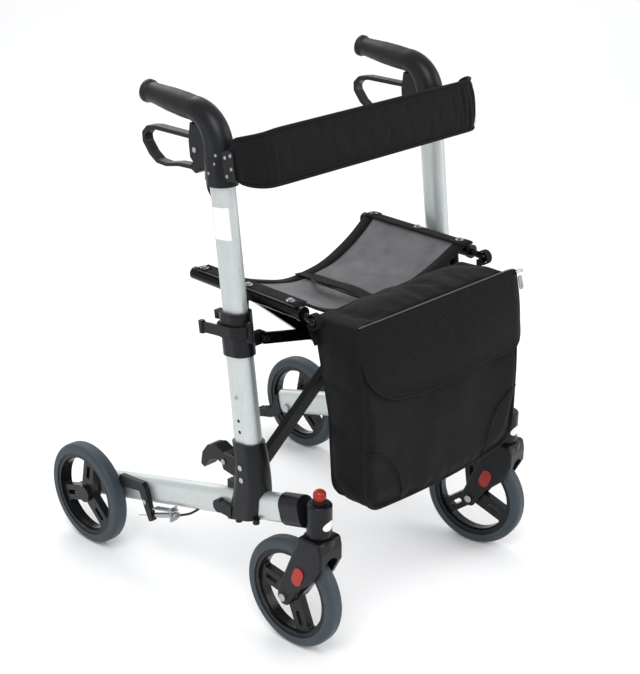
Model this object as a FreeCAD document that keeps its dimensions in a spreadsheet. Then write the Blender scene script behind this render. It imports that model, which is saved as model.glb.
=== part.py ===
# Rollator walker: cross-folding frame, four 8-inch wheels, sling seat, bag, backrest and loop brakes.
# Frame: +Z up, floor at z = 0, walking direction -Y, the walker's left side is +X.  Millimetres.
# The left-hand pieces are drawn; the right-hand ones are their mirror images.
import FreeCAD, Part
import math
import os
import Sketcher

doc = FreeCAD.newDocument("rollator_walker")
V = FreeCAD.Vector
sub_parts = []

# ---------------------------------------------------------------- driving dimensions
dimensions = {
    "side_x": (254, "side frames' centre plane from the middle"),
    "rear_axle_y": (266, "rear axle, behind the origin"),
    "wheel_radius": (100, "eight-inch wheels"),
    "tyre_width": (30, "tyre width"),
    "tyre_depth": (18, "radial depth of the tyre"),
    "rear_wheel_x": (286.5, "rear wheels' centre plane"),
    "hub_width": (31, "length of the wheel hubs"),
    "hub_radius": (16, "radius of the wheel hubs"),
    "web_width": (15, "thickness of the spokes"),
    "band_width": (26, "width of the rim band"),
    "spoke_half": (15, "half width of a spoke"),
    "swivel_x": (247, "caster swivel axis"),
    "swivel_y": (-310, "caster swivel axis"),
    "trail": (55.5, "caster trail"),
    "turn_right": (2.1, "how far the right caster stands turned, degrees"),
    "turn_left": (9.7, "how far the left caster stands turned, degrees"),
    "left_caster_spin": (52, "where the left caster's spokes stand, degrees"),
    "right_caster_spin": (98, "where the right caster's spokes stand, degrees"),
    "rear_spin": (71, "where the rear wheels' spokes stand, degrees"),
    "tube_rise": (15.95, "slope of the bottom tubes, degrees"),
    "tube_foot_z": (110.9, "bottom tube's centre above the floor at the rear axle"),
    "tube_high": (52, "bottom tube section"),
    "tube_wide": (30, "bottom tube section"),
    "tube_wall": (2, "wall of the bottom tube and outer post"),
    "tube_length": (588, "bottom tube length"),
    "tube_behind": (22, "bottom tube reaches behind the rear axle"),
    "post_lean": (7.03, "posts lean back, degrees"),
    "post_foot_y": (-191.7, "where the posts' axis meets the floor"),
    "outer_deep": (52, "outer post section, fore and aft"),
    "outer_wide": (35, "outer post section"),
    "outer_from": (266, "outer post starts, along the post axis"),
    "outer_length": (304, "outer post length"),
    "inner_deep": (47, "inner post section, fore and aft"),
    "inner_wide": (30.5, "inner post section"),
    "inner_wall": (1.8, "wall of the inner post"),
    "inner_from": (443, "inner post starts, along the post axis"),
    "inner_length": (390, "inner post length"),
    "pivot_x": (222, "lower pivots of the cross bars"),
    "pivot_z": (245, "lower pivots of the cross bars"),
    "rail_x": (212, "seat rails"),
    "rail_z": (592, "seat rails"),
    "rail_radius": (11, "seat rails"),
    "rail_front": (-232, "front end of the seat rails"),
    "rail_length": (260, "length of the seat rails"),
    "bar_deep": (22, "cross bar section, in its plane of turning"),
    "bar_thick": (14, "cross bar section, fore and aft"),
    "bar_a_y": (-112, "cross bar that carries the left rail"),
    "bar_b_y": (-128, "cross bar that carries the right rail"),
    "link_x": (205, "link pivot on the collar"),
    "link_z": (519, "link pivot on the collar"),
    "link_length": (118, "link length between pivots"),
    "link_dip": (12.6, "link slopes down towards the middle, degrees"),
    "collar_from": (507, "height collar starts, along the post axis"),
    "collar_length": (74, "height collar length"),
    "housing_from": (790, "handle housing starts, along the post axis"),
    "grip_rise": (4.1, "grip slopes up to the rear, degrees"),
    "bend_radius": (58, "bend of the handle"),
    "bend_z": (846, "start of the handle's bend"),
    "lever_y": (-50, "brake lever pivot"),
    "lever_z": (836, "brake lever pivot"),
    "arm_y": (104, "brake arm pivot"),
    "arm_z": (141, "brake arm pivot"),
    "cable_radius": (2.2, "brake cable's outer sleeve"),
    "seat_thick": (2.4, "seat fabric"),
    "seat_sag": (64, "seat fabric sags"),
    "bag_half": (203, "half width of the bag"),
    "back_half": (276, "half width of the backrest"),
    "back_high": (96, "height of the backrest pad"),
    "back_thick": (12, "thickness of the backrest pad"),
    "back_lean": (9, "the backrest pad leans back, degrees"),
    "back_front_y": (-198, "front of the backrest's lower edge"),
    "back_low_z": (795, "the backrest's lower edge"),
    "fit_gap": (0.05, "running clearance of pins in holes"),
    "loose_gap": (0.5, "clearance between parts that only stand beside each other"),
}
sheet = doc.addObject("Spreadsheet::Sheet", "Dims")
for row, (alias, (number, meaning)) in enumerate(dimensions.items(), start=1):
    sheet.set("A%d" % row, meaning)
    sheet.set("B%d" % row, str(number))
    sheet.setAlias("B%d" % row, alias)
doc.recompute()


def expand(text):
    """Put the sheet's name in front of every alias in an expression."""
    words = []
    word = ""
    for letter in str(text) + " ":
        if letter.isalnum() or letter in "_.":
            word += letter
            continue
        words.append("Dims." + word if word in dimensions else word)
        words.append(letter)
        word = ""
    return "".join(words).strip()


def value(text):
    """The number that an expression in the sheet's words stands for."""
    result = sheet.evalExpression(expand(text))
    return float(getattr(result, "Value", result))


def bind(thing, path, text):
    thing.setExpression(path, expand(text))


def place(thing, base=(0, 0, 0), axis=(0, 0, 1), angle=0):
    """Give a thing a Placement whose place and angle follow the sheet."""
    spot = V(*[value(part) for part in base])
    thing.Placement = FreeCAD.Placement(spot, FreeCAD.Rotation(V(*axis), value(angle)))
    for letter, part in zip("xyz", base):
        bind(thing, "Placement.Base." + letter, part)
    if str(angle) != "0":
        bind(thing, "Placement.Rotation.Angle", angle)
    return thing


# ---------------------------------------------------------------- sketches
def add_polygon(drawing, corners):
    """A closed outline of straight runs whose corners follow the sheet."""
    first = drawing.GeometryCount
    spots = [V(value(across), value(up), 0) for across, up in corners]
    for here, there in zip(spots, spots[1:] + spots[:1]):
        drawing.addGeometry(Part.LineSegment(here, there), False)
    for step, (across, up) in enumerate(corners):
        line = first + step
        following = first + (step + 1) % len(corners)
        drawing.addConstraint(Sketcher.Constraint("Coincident", line, 2, following, 1))
        pin_point(drawing, line, 1, across, up)


def pin_point(drawing, line, end, across, up):
    """Hold one point at two distances from the sketch's origin."""
    for kind, text, axis in (("DistanceX", across, -2), ("DistanceY", up, -1)):
        if abs(value(text)) < 1e-9:
            drawing.addConstraint(Sketcher.Constraint("PointOnObject", line, end, axis))
            continue
        number = drawing.addConstraint(Sketcher.Constraint(kind, -1, 1, line, end, value(text)))
        bind(drawing, "Constraints[%d]" % number, text)


def add_circle(drawing, across, up, radius):
    circle = Part.Circle(V(value(across), value(up), 0), V(0, 0, 1), value(radius))
    line = drawing.addGeometry(circle, False)
    pin_point(drawing, line, 3, across, up)
    number = drawing.addConstraint(Sketcher.Constraint("Radius", line, value(radius)))
    bind(drawing, "Constraints[%d]" % number, radius)


def add_oval(drawing, wide, deep):
    """A flat-sided oval about the origin: wide along the sketch's x, deep along its y."""
    radius = value(wide) / 2
    reach = value(deep) / 2 - radius
    first = drawing.GeometryCount
    top_arc = Part.ArcOfCircle(Part.Circle(V(0, reach, 0), V(0, 0, 1), radius), 0, math.pi)
    low_arc = Part.ArcOfCircle(Part.Circle(V(0, -reach, 0), V(0, 0, 1), radius), math.pi, 2 * math.pi)
    drawing.addGeometry(top_arc, False)
    drawing.addGeometry(Part.LineSegment(V(-radius, reach, 0), V(-radius, -reach, 0)), False)
    drawing.addGeometry(low_arc, False)
    drawing.addGeometry(Part.LineSegment(V(radius, -reach, 0), V(radius, reach, 0)), False)
    for step in range(4):
        here = first + step
        following = first + (step + 1) % 4
        drawing.addConstraint(Sketcher.Constraint("Tangent", here, 2, following, 1))
    pin_point(drawing, first, 3, "0", "(%s - (%s)) / 2" % (deep, wide))
    pin_point(drawing, first + 2, 3, "0", "((%s) - (%s)) / 2" % (wide, deep))
    number = drawing.addConstraint(Sketcher.Constraint("Radius", first, radius))
    bind(drawing, "Constraints[%d]" % number, "(%s) / 2" % wide)


def new_body(label):
    body = doc.addObject("PartDesign::Body", "body_" + label)
    body.Label = label
    return body


def new_sketch(body, plane):
    """A sketch on one of the body's own origin planes."""
    drawing = body.newObject("Sketcher::SketchObject", body.Label + "_sketch")
    origin_plane = [item for item in body.Origin.OriginFeatures if item.Role == plane][0]
    drawing.AttachmentSupport = [(origin_plane, "")]
    drawing.MapMode = "FlatFace"
    return drawing


def pad(body, drawing, length, both_ways=False):
    feature = body.newObject("PartDesign::Pad", body.Label + "_pad")
    feature.Profile = drawing
    bind(feature, "Length", length)
    feature.Midplane = both_ways
    drawing.Visibility = False
    doc.recompute()
    return feature


def pocket_through(body, drawing, depth, towards_normal=False, both_ways=False):
    before = body.Shape.Volume
    feature = body.newObject("PartDesign::Pocket", body.Label + "_pocket")
    feature.Profile = drawing
    bind(feature, "Length", depth)
    feature.Reversed = towards_normal
    feature.Midplane = both_ways
    doc.recompute()
    if body.Shape.Volume >= before - 0.01:
        raise RuntimeError("a pocket cut nothing from " + body.Label)
    return feature


def edges_where(shape, test):
    return ["Edge%d" % number for number, edge in enumerate(shape.Edges, start=1) if test(edge)]


def runs_along(direction):
    """True for straight edges along a direction."""
    def test(edge):
        if not isinstance(edge.Curve, Part.Line):
            return False
        return abs(edge.Curve.Direction.dot(V(*direction))) > 0.999
    return test


def round_body(body, radius, test):
    """Round the chosen edges of a body's last feature."""
    last = body.Tip
    names = edges_where(last.Shape, test)
    feature = body.newObject("PartDesign::Fillet", body.Label + "_round")
    feature.Base = (last, names)
    bind(feature, "Radius", radius)
    doc.recompute()
    return feature


# ---------------------------------------------------------------- Part solids and booleans
def cylinder(name, radius, height, base, axis="z"):
    """A cylinder from its base point along x, y or z."""
    thing = doc.addObject("Part::Cylinder", name)
    bind(thing, "Radius", radius)
    bind(thing, "Height", height)
    turns = {"x": ((0, 1, 0), 90), "y": ((1, 0, 0), -90), "z": ((0, 0, 1), 0)}
    return place(thing, base, *turns[axis])


def box(name, size, corner):
    thing = doc.addObject("Part::Box", name)
    for side, length in zip(("Length", "Width", "Height"), size):
        bind(thing, side, length)
    return place(thing, corner)


def ball(name, radius, centre):
    thing = doc.addObject("Part::Sphere", name)
    bind(thing, "Radius", radius)
    return place(thing, centre)


def fuse(name, things):
    joined = doc.addObject("Part::MultiFuse", name)
    joined.Shapes = things
    joined.Refine = True
    doc.recompute()
    return joined


def group(name, things):
    """Separate solids of one kind kept together."""
    together = doc.addObject("Part::Compound", name)
    together.Links = things
    doc.recompute()
    return together


def cut(name, base, tools):
    """Take tools away from a base, and make sure that they took something."""
    tool = tools[0] if len(tools) == 1 else fuse(name + "_tools", tools)
    result = doc.addObject("Part::Cut", name)
    result.Base = base
    result.Tool = tool
    doc.recompute()
    if result.Shape.Volume >= base.Shape.Volume - 0.01:
        raise RuntimeError("nothing was cut from " + name)
    return result


def rounded(name, thing, radius, test):
    """Round the chosen edges of a solid."""
    doc.recompute()
    result = doc.addObject("Part::Fillet", name)
    result.Base = thing
    numbers = [number for number, edge in enumerate(thing.Shape.Edges, start=1) if test(edge)]
    result.Edges = [(number, value(radius), value(radius)) for number in numbers]
    doc.recompute()
    return result


def profile_solid(label, corners, width, centre_x, base=("0", "0")):
    """A plate drawn in the side view (y to the right, z up) and padded both ways along x."""
    body = new_body(label)
    drawing = new_sketch(body, "YZ_Plane")
    add_polygon(drawing, corners)
    pad(body, drawing, width, both_ways=True)
    return place(body, (centre_x, base[0], base[1]))


def oval_solid(label, wide, deep, length, wall=None):
    """An oval bar, or a tube when it has a wall, standing on its own XY plane."""
    body = new_body(label)
    drawing = new_sketch(body, "XY_Plane")
    add_oval(drawing, wide, deep)
    if wall:
        add_oval(drawing, "%s - 2 * %s" % (wide, wall), "%s - 2 * %s" % (deep, wall))
    pad(body, drawing, length)
    return body


def on_post(body, along, across="0", behind="0"):
    """Stand a body on the left post's axis, a distance along it from the floor."""
    base = ("side_x + (%s)" % across,
            "post_foot_y + (%s) * sin(post_lean) + (%s) * cos(post_lean)" % (along, behind),
            "(%s) * cos(post_lean) - (%s) * sin(post_lean)" % (along, behind))
    return place(body, base, (1, 0, 0), "-post_lean")


def on_tube(body, behind, across="0", above="0"):
    """Lay a body along the left bottom tube, starting this far behind the rear axle."""
    base = ("side_x + (%s)" % across,
            "rear_axle_y + (%s) + (%s) * sin(tube_rise)" % (behind, above),
            "tube_foot_z - (%s) * tan(tube_rise) + (%s) * cos(tube_rise)" % (behind, above))
    return place(body, base, (1, 0, 0), "90 - tube_rise")


def rod(name, radius, start, end):
    """A round bar between two points."""
    ends = [V(*[value(part) for part in point]) for point in (start, end)]
    thing = doc.addObject("Part::Cylinder", name)
    bind(thing, "Radius", radius)
    thing.Height = (ends[1] - ends[0]).Length
    thing.Placement = FreeCAD.Placement(ends[0], FreeCAD.Rotation(V(0, 0, 1), ends[1] - ends[0]))
    for letter, part in zip("xyz", start):
        bind(thing, "Placement.Base." + letter, part)
    return thing


def circles_of_radius(radius):
    def test(edge):
        return isinstance(edge.Curve, Part.Circle) and abs(edge.Curve.Radius - radius) < 0.01
    return test


def keep(thing, label):
    """Name a finished sub-part."""
    thing.Label = label
    sub_parts.append(thing)
    return thing


def keep_pair(left, label):
    """Name a left-hand sub-part and make its right-hand mirror image."""
    keep(left, label + "_left")
    right = doc.addObject("Part::Mirroring", label + "_mirror")
    right.Source = left
    right.Base = V(0, 0, 0)
    right.Normal = V(1, 0, 0)
    doc.recompute()
    keep(right, label + "_right")


def keep_casters(left, label, right=None):
    """Stand a caster piece, drawn about its swivel axis, under both heads."""
    for side, sign, master in (("left", "", left), ("right", "-", right or left)):
        copy = doc.addObject("Part::Compound", label + "_" + side)
        copy.Links = [master]
        place(copy, (sign + "swivel_x", "swivel_y", "0"), (0, 0, 1), "turn_" + side)
        doc.recompute()
        keep(copy, label + "_" + side)


# ---------------------------------------------------------------- bottom tubes
tube = on_tube(oval_solid("tube_stock", "tube_wide", "tube_high", "tube_length", "tube_wall"),
               "tube_behind")
axle_hole = cylinder("axle_hole", "5 + fit_gap", 40, ("235", "rear_axle_y", "wheel_radius"), "x")
cable_door = cylinder("cable_door", 9.5, 26, ("side_x + 3", "-24", "155"), "z")
post_door = cylinder("post_door", 9, 30, ("side_x", "-149", "238"), "z")
arm_hole = cylinder("arm_hole", "3 + fit_gap", 12, ("side_x + tube_wide / 2 - 9", "arm_y", "arm_z"), "x")
keep_pair(cut("bottom_tube", tube, [axle_hole, cable_door, post_door, arm_hole]), "bottom_tube")

# ---------------------------------------------------------------- posts
hole_places = (372.5, 392.5, 434)
bolt_places = (287.5, 310)
outer = oval_solid("outer_stock", "outer_wide", "outer_deep", "outer_length", "tube_wall")
hole_drawing = new_sketch(outer, "YZ_Plane")
for along in hole_places:
    add_circle(hole_drawing, "0", "%s - outer_from" % along, 3.25)
for along in bolt_places:
    add_circle(hole_drawing, "0", "%s - outer_from" % along, "3 + fit_gap")
pocket_through(outer, hole_drawing, "outer_wide", towards_normal=True)
keep_pair(on_post(outer, "outer_from"), "outer_post")

inner = on_post(oval_solid("inner_stock", "inner_wide", "inner_deep", "inner_length", "inner_wall"),
                "inner_from")
cable_window = cylinder("cable_window", 9, 20, ("side_x", "-90", "750"), "y")
keep_pair(cut("inner_post", inner, [cable_window]), "inner_post")

# ---------------------------------------------------------------- base brackets
tube_room = on_tube(oval_solid("tube_room", "tube_wide + 0.2", "tube_high + 0.2", "tube_length", None),
                    "tube_behind")
post_room = on_post(oval_solid("post_room", "outer_wide + 0.2", "outer_deep + 0.2", "outer_length", None),
                    "outer_from")


def bracket_shell():
    """The moulded shell: an oval sleeve round the post that widens into a saddle on the tube."""
    top = doc.addObject("Sketcher::SketchObject", "bracket_top")
    add_oval(top, "outer_wide + 9", "outer_deep + 9")
    on_post(top, "352")
    foot = doc.addObject("Sketcher::SketchObject", "bracket_foot")
    add_oval(foot, "tube_wide + 21", "88")
    place(foot, ("side_x", "-147", "205"), (1, 0, 0), "-tube_rise")
    waist = doc.addObject("Sketcher::SketchObject", "bracket_waist")
    add_oval(waist, "tube_wide + 19", "72")
    on_post(waist, "272")
    shell = doc.addObject("Part::Loft", "bracket_shell")
    shell.Sections = [foot, waist, top]
    shell.Solid = True
    doc.recompute()
    return shell


def base_bracket():
    lug = cylinder("bracket_lug", 12, 12, ("side_x + tube_wide / 2 + 0.3", "-97", "213"), "x")
    web = box("bracket_web", (12, 34, 20), ("side_x + tube_wide / 2 + 0.3", "-131", "203"))
    ears = []
    for name, near in (("rear_ear", "bar_a_y + bar_thick / 2 + 1"),
                       ("front_ear", "bar_b_y - bar_thick / 2 - 7")):
        ears.append(cylinder(name, 13, 6, ("pivot_x", near, "pivot_z"), "y"))
        ears.append(box(name + "_arm", (36, 6, 22), ("pivot_x", near, "pivot_z - 11")))
    ears.append(box("rear_ear_root", (22.5, 38, 24), ("side_x - 18.5", "-136", "pivot_z - 11")))
    spring_ears = []
    for name, across in (("outer_cheek", "side_x + 14"), ("inner_cheek", "side_x - 18")):
        cheek = profile_solid(name, (("-140", "280"), ("-104", "284"), ("-96", "302"), ("-104", "316"),
                                     ("-135", "316")),
                              4, across + " + 2")
        spring_ears.append(cheek)
    boss_a = cylinder("boss_a", 6, 9, ("side_x + 19", "-143", "199"), "z")
    boss_b = cylinder("boss_b", 6, 9, ("side_x + 19", "-186", "212"), "z")
    whole = fuse("bracket_whole", [bracket_shell(), lug, web, boss_a, boss_b] + ears + spring_ears)
    bar_room = box("bar_room", (70, "bar_a_y - bar_b_y + bar_thick + 3", 70),
                   ("side_x - 20 - 70 + 1.3", "bar_b_y - bar_thick / 2 - 1", "pivot_z - 24"))
    pivot_hole = cylinder("pivot_hole", "4 + fit_gap", 60, ("pivot_x", "-150", "pivot_z"), "y")
    lever_hole = cylinder("lever_hole", "3 + fit_gap", 44, ("side_x - 22", "-106", "300"), "x")
    lever_room = box("lever_room", (27.4, 60, 60), ("side_x - 13.7", "-117.5", "270"))
    bolt_holes = []
    for number, along in enumerate(bolt_places):
        spot = ("post_foot_y + %s * sin(post_lean)" % along, "%s * cos(post_lean)" % along)
        bolt_holes.append(cylinder("bolt_room_%d" % number, "3 + fit_gap", 30, ("side_x + 8",) + spot, "x"))
        bolt_holes.append(cylinder("bolt_seat_%d" % number, 5.2, 12, ("side_x + 21.5",) + spot, "x"))
    cable_room = rod("bracket_cable_room", 5, ("side_x", "-143", "335"), ("side_x", "-149.5", "244"))
    tools = [tube_room, post_room, bar_room, pivot_hole, lever_hole, lever_room, cable_room] + bolt_holes
    return cut("base_bracket", whole, tools)


keep_pair(base_bracket(), "base_bracket")


def lock_lever():
    """A hooked thumb lever on the rear of the bracket, turning on a cross pin."""
    corners = (("-7", "-9"), ("9", "-10"), ("26", "-6"), ("44", "-14"), ("56", "-34"), ("66", "-30"),
               ("62", "-6"),
               ("48", "13"), ("26", "19"), ("8", "12"), ("-7", "9"))
    body = profile_solid("lock_stock", corners, 26, "side_x", ("-106", "300"))
    round_body(body, 3, runs_along((1, 0, 0)))
    ribs = []
    for number, (across, up) in enumerate(((-78, 318.5), (-70, 316), (-62, 311))):
        ribs.append(cylinder("lock_rib_%d" % number, 2, 22, ("side_x - 11", str(across), str(up)), "x"))
    whole = fuse("lock_whole", [body] + ribs)
    pin_room = cylinder("lock_pin_room", "3 + fit_gap", 40, ("side_x - 20", "-106", "300"), "x")
    return cut("lock_lever", whole, [pin_room])


keep_pair(lock_lever(), "lock_lever")

# ---------------------------------------------------------------- height collars and clamp levers
BAND_FROM = 541
BAND_TALL = 20
HINGE = ("5", "-38")


def collar_ring(name, gap, thick, tall):
    """An oval ring round the collar, a gap outside it."""
    body = new_body(name)
    drawing = new_sketch(body, "XY_Plane")
    wide, deep = "outer_wide + 8 + 2 * (%s)", "outer_deep + 8 + 2 * (%s)"
    outside = "%s + %s" % (gap, thick)
    add_oval(drawing, wide % outside, deep % outside)
    add_oval(drawing, wide % gap, deep % gap)
    pad(body, drawing, str(tall))
    return body


def hinge_disc(name, radius, along, tall):
    """A disc about the clamp lever's hinge pin, which stands along the post in front of the collar."""
    return on_post(cylinder(name, radius, tall, ("0", "0", "0"), "z"), str(along), *HINGE)


def height_collar():
    """Cup on the outer post with a lip round the inner post, a link lug and a saddle for the seat rail."""
    cup = on_post(oval_solid("collar_cup", "outer_wide + 8", "outer_deep + 8", "collar_length", None),
                  "collar_from")
    lug_disc = cylinder("lug_disc", 11, 12.5, ("link_x", "bar_b_y - 6.5", "link_z"), "y")
    lug_arm = box("lug_arm", ("side_x - 15 - link_x", 12.5, 22), ("link_x", "bar_b_y - 6.5", "link_z - 11"))
    saddle_y = "bar_a_y + bar_thick / 2 + 1.5"
    saddle = box("saddle", (22, 8, 54), ("rail_x - 4", saddle_y, "rail_z - rail_radius - 50"))
    saddle_arm = box("saddle_arm", (44, 8, 26), ("rail_x - 4", saddle_y, "rail_z - rail_radius - 50"))
    rear_block = on_post(box("rear_block", (14, 16, 15), ("0", "0", "0")), "564", "-4", "26")
    ears = []
    for name, along, tall in (("low_ear", BAND_FROM - 7, 6.4),
                              ("high_ear", BAND_FROM + BAND_TALL + 0.6, 6)):
        ears.append(hinge_disc(name, 5, along, tall))
        ears.append(on_post(box(name + "_arm", (10, 12, tall), ("0", "0", "0")), str(along), "0", "-38"))
    whole = fuse("collar_whole", [cup, lug_disc, lug_arm, saddle, saddle_arm, rear_block] + ears)
    room = on_post(oval_solid("collar_room", "outer_wide + 0.2", "outer_deep + 0.2", "outer_length", None),
                   "outer_from")
    throat = on_post(oval_solid("collar_throat", "inner_wide + 1", "inner_deep + 1", "80", None), "540")
    rail_room = cylinder("rail_room", "rail_radius + loose_gap", 80, ("rail_x", "bar_b_y - 40", "rail_z"),
                         "y")
    pin_room = cylinder("link_pin_room", "3 + fit_gap", 20, ("link_x", "bar_b_y - 10", "link_z"), "y")
    hinge_room = hinge_disc("clamp_pin_room", "2.5 + fit_gap", BAND_FROM - 10, 50)
    knuckle_room = hinge_disc("knuckle_room", 5.6, BAND_FROM - 0.5, BAND_TALL + 1)
    return cut("height_collar", whole, [room, throat, rail_room, pin_room, hinge_room, knuckle_room])


def clamp_lever():
    """A band that wraps the collar's outer side and ends in a finger tab behind it."""
    ring = on_post(collar_ring("clamp_ring", "0.5", "5", BAND_TALL), str(BAND_FROM))
    inner_half = on_post(box("clamp_inner_half", (70, 120, 60), ("0", "0", "0")), str(BAND_FROM - 20),
                         "-68", "-60")
    band = cut("clamp_band", ring, [inner_half])
    knuckle = hinge_disc("clamp_knuckle", 5, BAND_FROM, BAND_TALL)
    tab = on_post(box("clamp_tab", (5, 48, 18), ("0", "0", "0")), str(BAND_FROM + 1), "22", "10")
    finger = on_post(box("clamp_finger", (9, 10, 22), ("0", "0", "0")), str(BAND_FROM - 1), "20", "54")
    finger_round = rounded("clamp_finger_round", finger, 2, lambda edge: edge.Length > 21)
    whole = fuse("clamp_whole", [band, knuckle, tab, finger_round])
    return cut("clamp_lever", whole, [hinge_disc("clamp_lever_pin_room", "2.5 + fit_gap", BAND_FROM - 5,
                                                 40)])


keep_pair(height_collar(), "height_collar")
keep_pair(clamp_lever(), "clamp_lever")

# ---------------------------------------------------------------- caster heads and their buttons
HEAD_LOW = 234
HEAD_TOP = 291


def caster_head():
    barrel = cylinder("head_barrel", 21.5, str(HEAD_TOP - HEAD_LOW),
                      ("swivel_x", "swivel_y", str(HEAD_LOW)), "z")

    def top_edge(edge):
        return circles_of_radius(21.5)(edge) and edge.CenterOfMass.z > HEAD_TOP - 1

    capped = rounded("head_capped", barrel, 4, top_edge)
    sleeve = on_tube(oval_solid("head_sleeve", "tube_wide + 8", "tube_high + 5", "46", None), "-508")
    nose = cylinder("head_nose", 12, 8, ("swivel_x", "swivel_y", str(HEAD_TOP - 2)), "z")
    whole = fuse("head_whole", [capped, sleeve, nose])
    below = box("head_below", (80, 120, 60), ("swivel_x - 40", "swivel_y - 60", str(HEAD_LOW - 60)))
    stem_room = cylinder("stem_room", "8 + fit_gap", 34, ("swivel_x", "swivel_y", str(HEAD_LOW - 1)), "z")
    button_room = cylinder("button_room", "8.5 + fit_gap", 40, ("swivel_x", "swivel_y", "272"), "z")
    return cut("caster_head", whole, [tube_end_room(), below, stem_room, button_room])


def tube_end_room():
    return on_tube(oval_solid("tube_end_room", "tube_wide + 0.2", "tube_high + 0.2", "tube_length + 0.1",
                              None),
                   "tube_behind")


keep_pair(caster_head(), "caster_head")


def turned_solid(label, corners):
    """A solid turned about its own z axis from its half outline."""
    body = new_body(label)
    drawing = new_sketch(body, "XZ_Plane")
    add_polygon(drawing, corners)
    turn = body.newObject("PartDesign::Revolution", label + "_turn")
    turn.Profile = drawing
    turn.ReferenceAxis = (drawing, ["V_Axis"])
    turn.Angle = 360
    doc.recompute()
    return body


def head_button():
    """Release button: a stem in the head and a ribbed cap above the nose."""
    corners = (("0", "277"), ("8.5", "277"), ("8.5", "301.5"), ("10.6", "301.5"), ("11", "303"), ("11", "304.6"),
               ("10.2", "305.3"), ("11", "306"), ("11", "307.6"), ("10.2", "308.3"), ("10.7", "309"),
               ("10", "311.4"), ("8", "313.8"), ("5", "315.2"), ("0", "315.8"))
    return place(turned_solid("button_stock", corners), ("swivel_x", "swivel_y", "0"))


keep_pair(head_button(), "head_button")


# ---------------------------------------------------------------- casters, drawn about the swivel axis
def on_outer_face(edge):
    """True for the edges round the fork's two outer faces."""
    return abs(abs(edge.CenterOfMass.x) - 27.5) < 0.01


def caster_fork():
    """Crown under the head and two legs that trail back to the wheel bolt."""
    corners = (("-24", "231"), ("24", "231"), ("27", "212"), ("38", "190"), ("70", "112"), ("71", "94"),
               ("60", "83"),
               ("48", "84"), ("25", "122"), ("-12", "156"), ("-28", "188"), ("-28", "212"))
    body = profile_solid("fork_stock", corners, 55, "0")
    round_body(body, 8, runs_along((1, 0, 0)))
    round_body(body, 4, on_outer_face)
    wheel_room = cylinder("fork_wheel_room", "wheel_radius + 4", "tyre_width + 5",
                          ("-(tyre_width + 5) / 2", "trail", "wheel_radius"), "x")
    arch = cylinder("fork_arch", "tyre_width / 2 + 2.5", 34, ("0", "-40", "180"), "y")
    stem_room = cylinder("fork_stem_room", "8 + fit_gap", 60, ("0", "0", "185"), "z")
    bolt_room = cylinder("fork_bolt_room", "4 + fit_gap", 70, ("-35", "trail", "wheel_radius"), "x")
    ring = cylinder("fork_ring", 20, 3.4, ("0", "0", "230.5"), "z")
    rim = cylinder("fork_crown", 27.5, 24, ("0", "0", "207"), "z")
    crown = rounded("fork_crown_round", rim, 5, circles_of_radius(27.5))
    whole = fuse("fork_whole", [body, ring, crown])
    return cut("caster_fork", whole, [wheel_room, arch, stem_room, bolt_room])


def caster_axle():
    """Swivel stem, wheel bolt with its heads, and a washer under the head."""
    stem = cylinder("stem", 8, 66, ("0", "0", "198"), "z")
    shank = cylinder("wheel_bolt", 4, 63, ("-31.5", "trail", "wheel_radius"), "x")
    head = cylinder("wheel_bolt_head", 7, 4, ("-31.7", "trail", "wheel_radius"), "x")
    nut = cylinder("wheel_bolt_nut", 7, 4, ("27.7", "trail", "wheel_radius"), "x")
    bolt = fuse("wheel_bolt_whole", [shank, head, nut])
    return group("caster_axle", [stem, bolt])


def fork_reflectors():
    """Oval reflectors let into the outside of both legs."""
    discs = []
    for name, corner in (("reflector_left", "27.6"), ("reflector_right", "-29.4")):
        disc = oval_solid(name, "21", "37", "1.8", None)
        turned = FreeCAD.Rotation(V(0, 1, 0), 90).multiply(FreeCAD.Rotation(V(0, 0, 1), 0))
        lean = FreeCAD.Rotation(V(1, 0, 0), 110)
        place(disc, (corner, "trail - 33", "153"))
        disc.Placement = FreeCAD.Placement(disc.Placement.Base, lean.multiply(turned))
        discs.append(disc)
    return group("fork_reflectors", discs)


def tyre(name):
    """A tyre about the X axis through the origin."""
    outside = cylinder(name + "_outside", "wheel_radius", "tyre_width", ("-tyre_width / 2", "0", "0"), "x")
    inside = cylinder(name + "_inside", "wheel_radius - tyre_depth", "tyre_width + 2",
                      ("-tyre_width / 2 - 1", "0", "0"), "x")
    ring = cut(name + "_ring", outside, [inside])
    return rounded(name, ring, 9, circles_of_radius(value("wheel_radius")))


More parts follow.
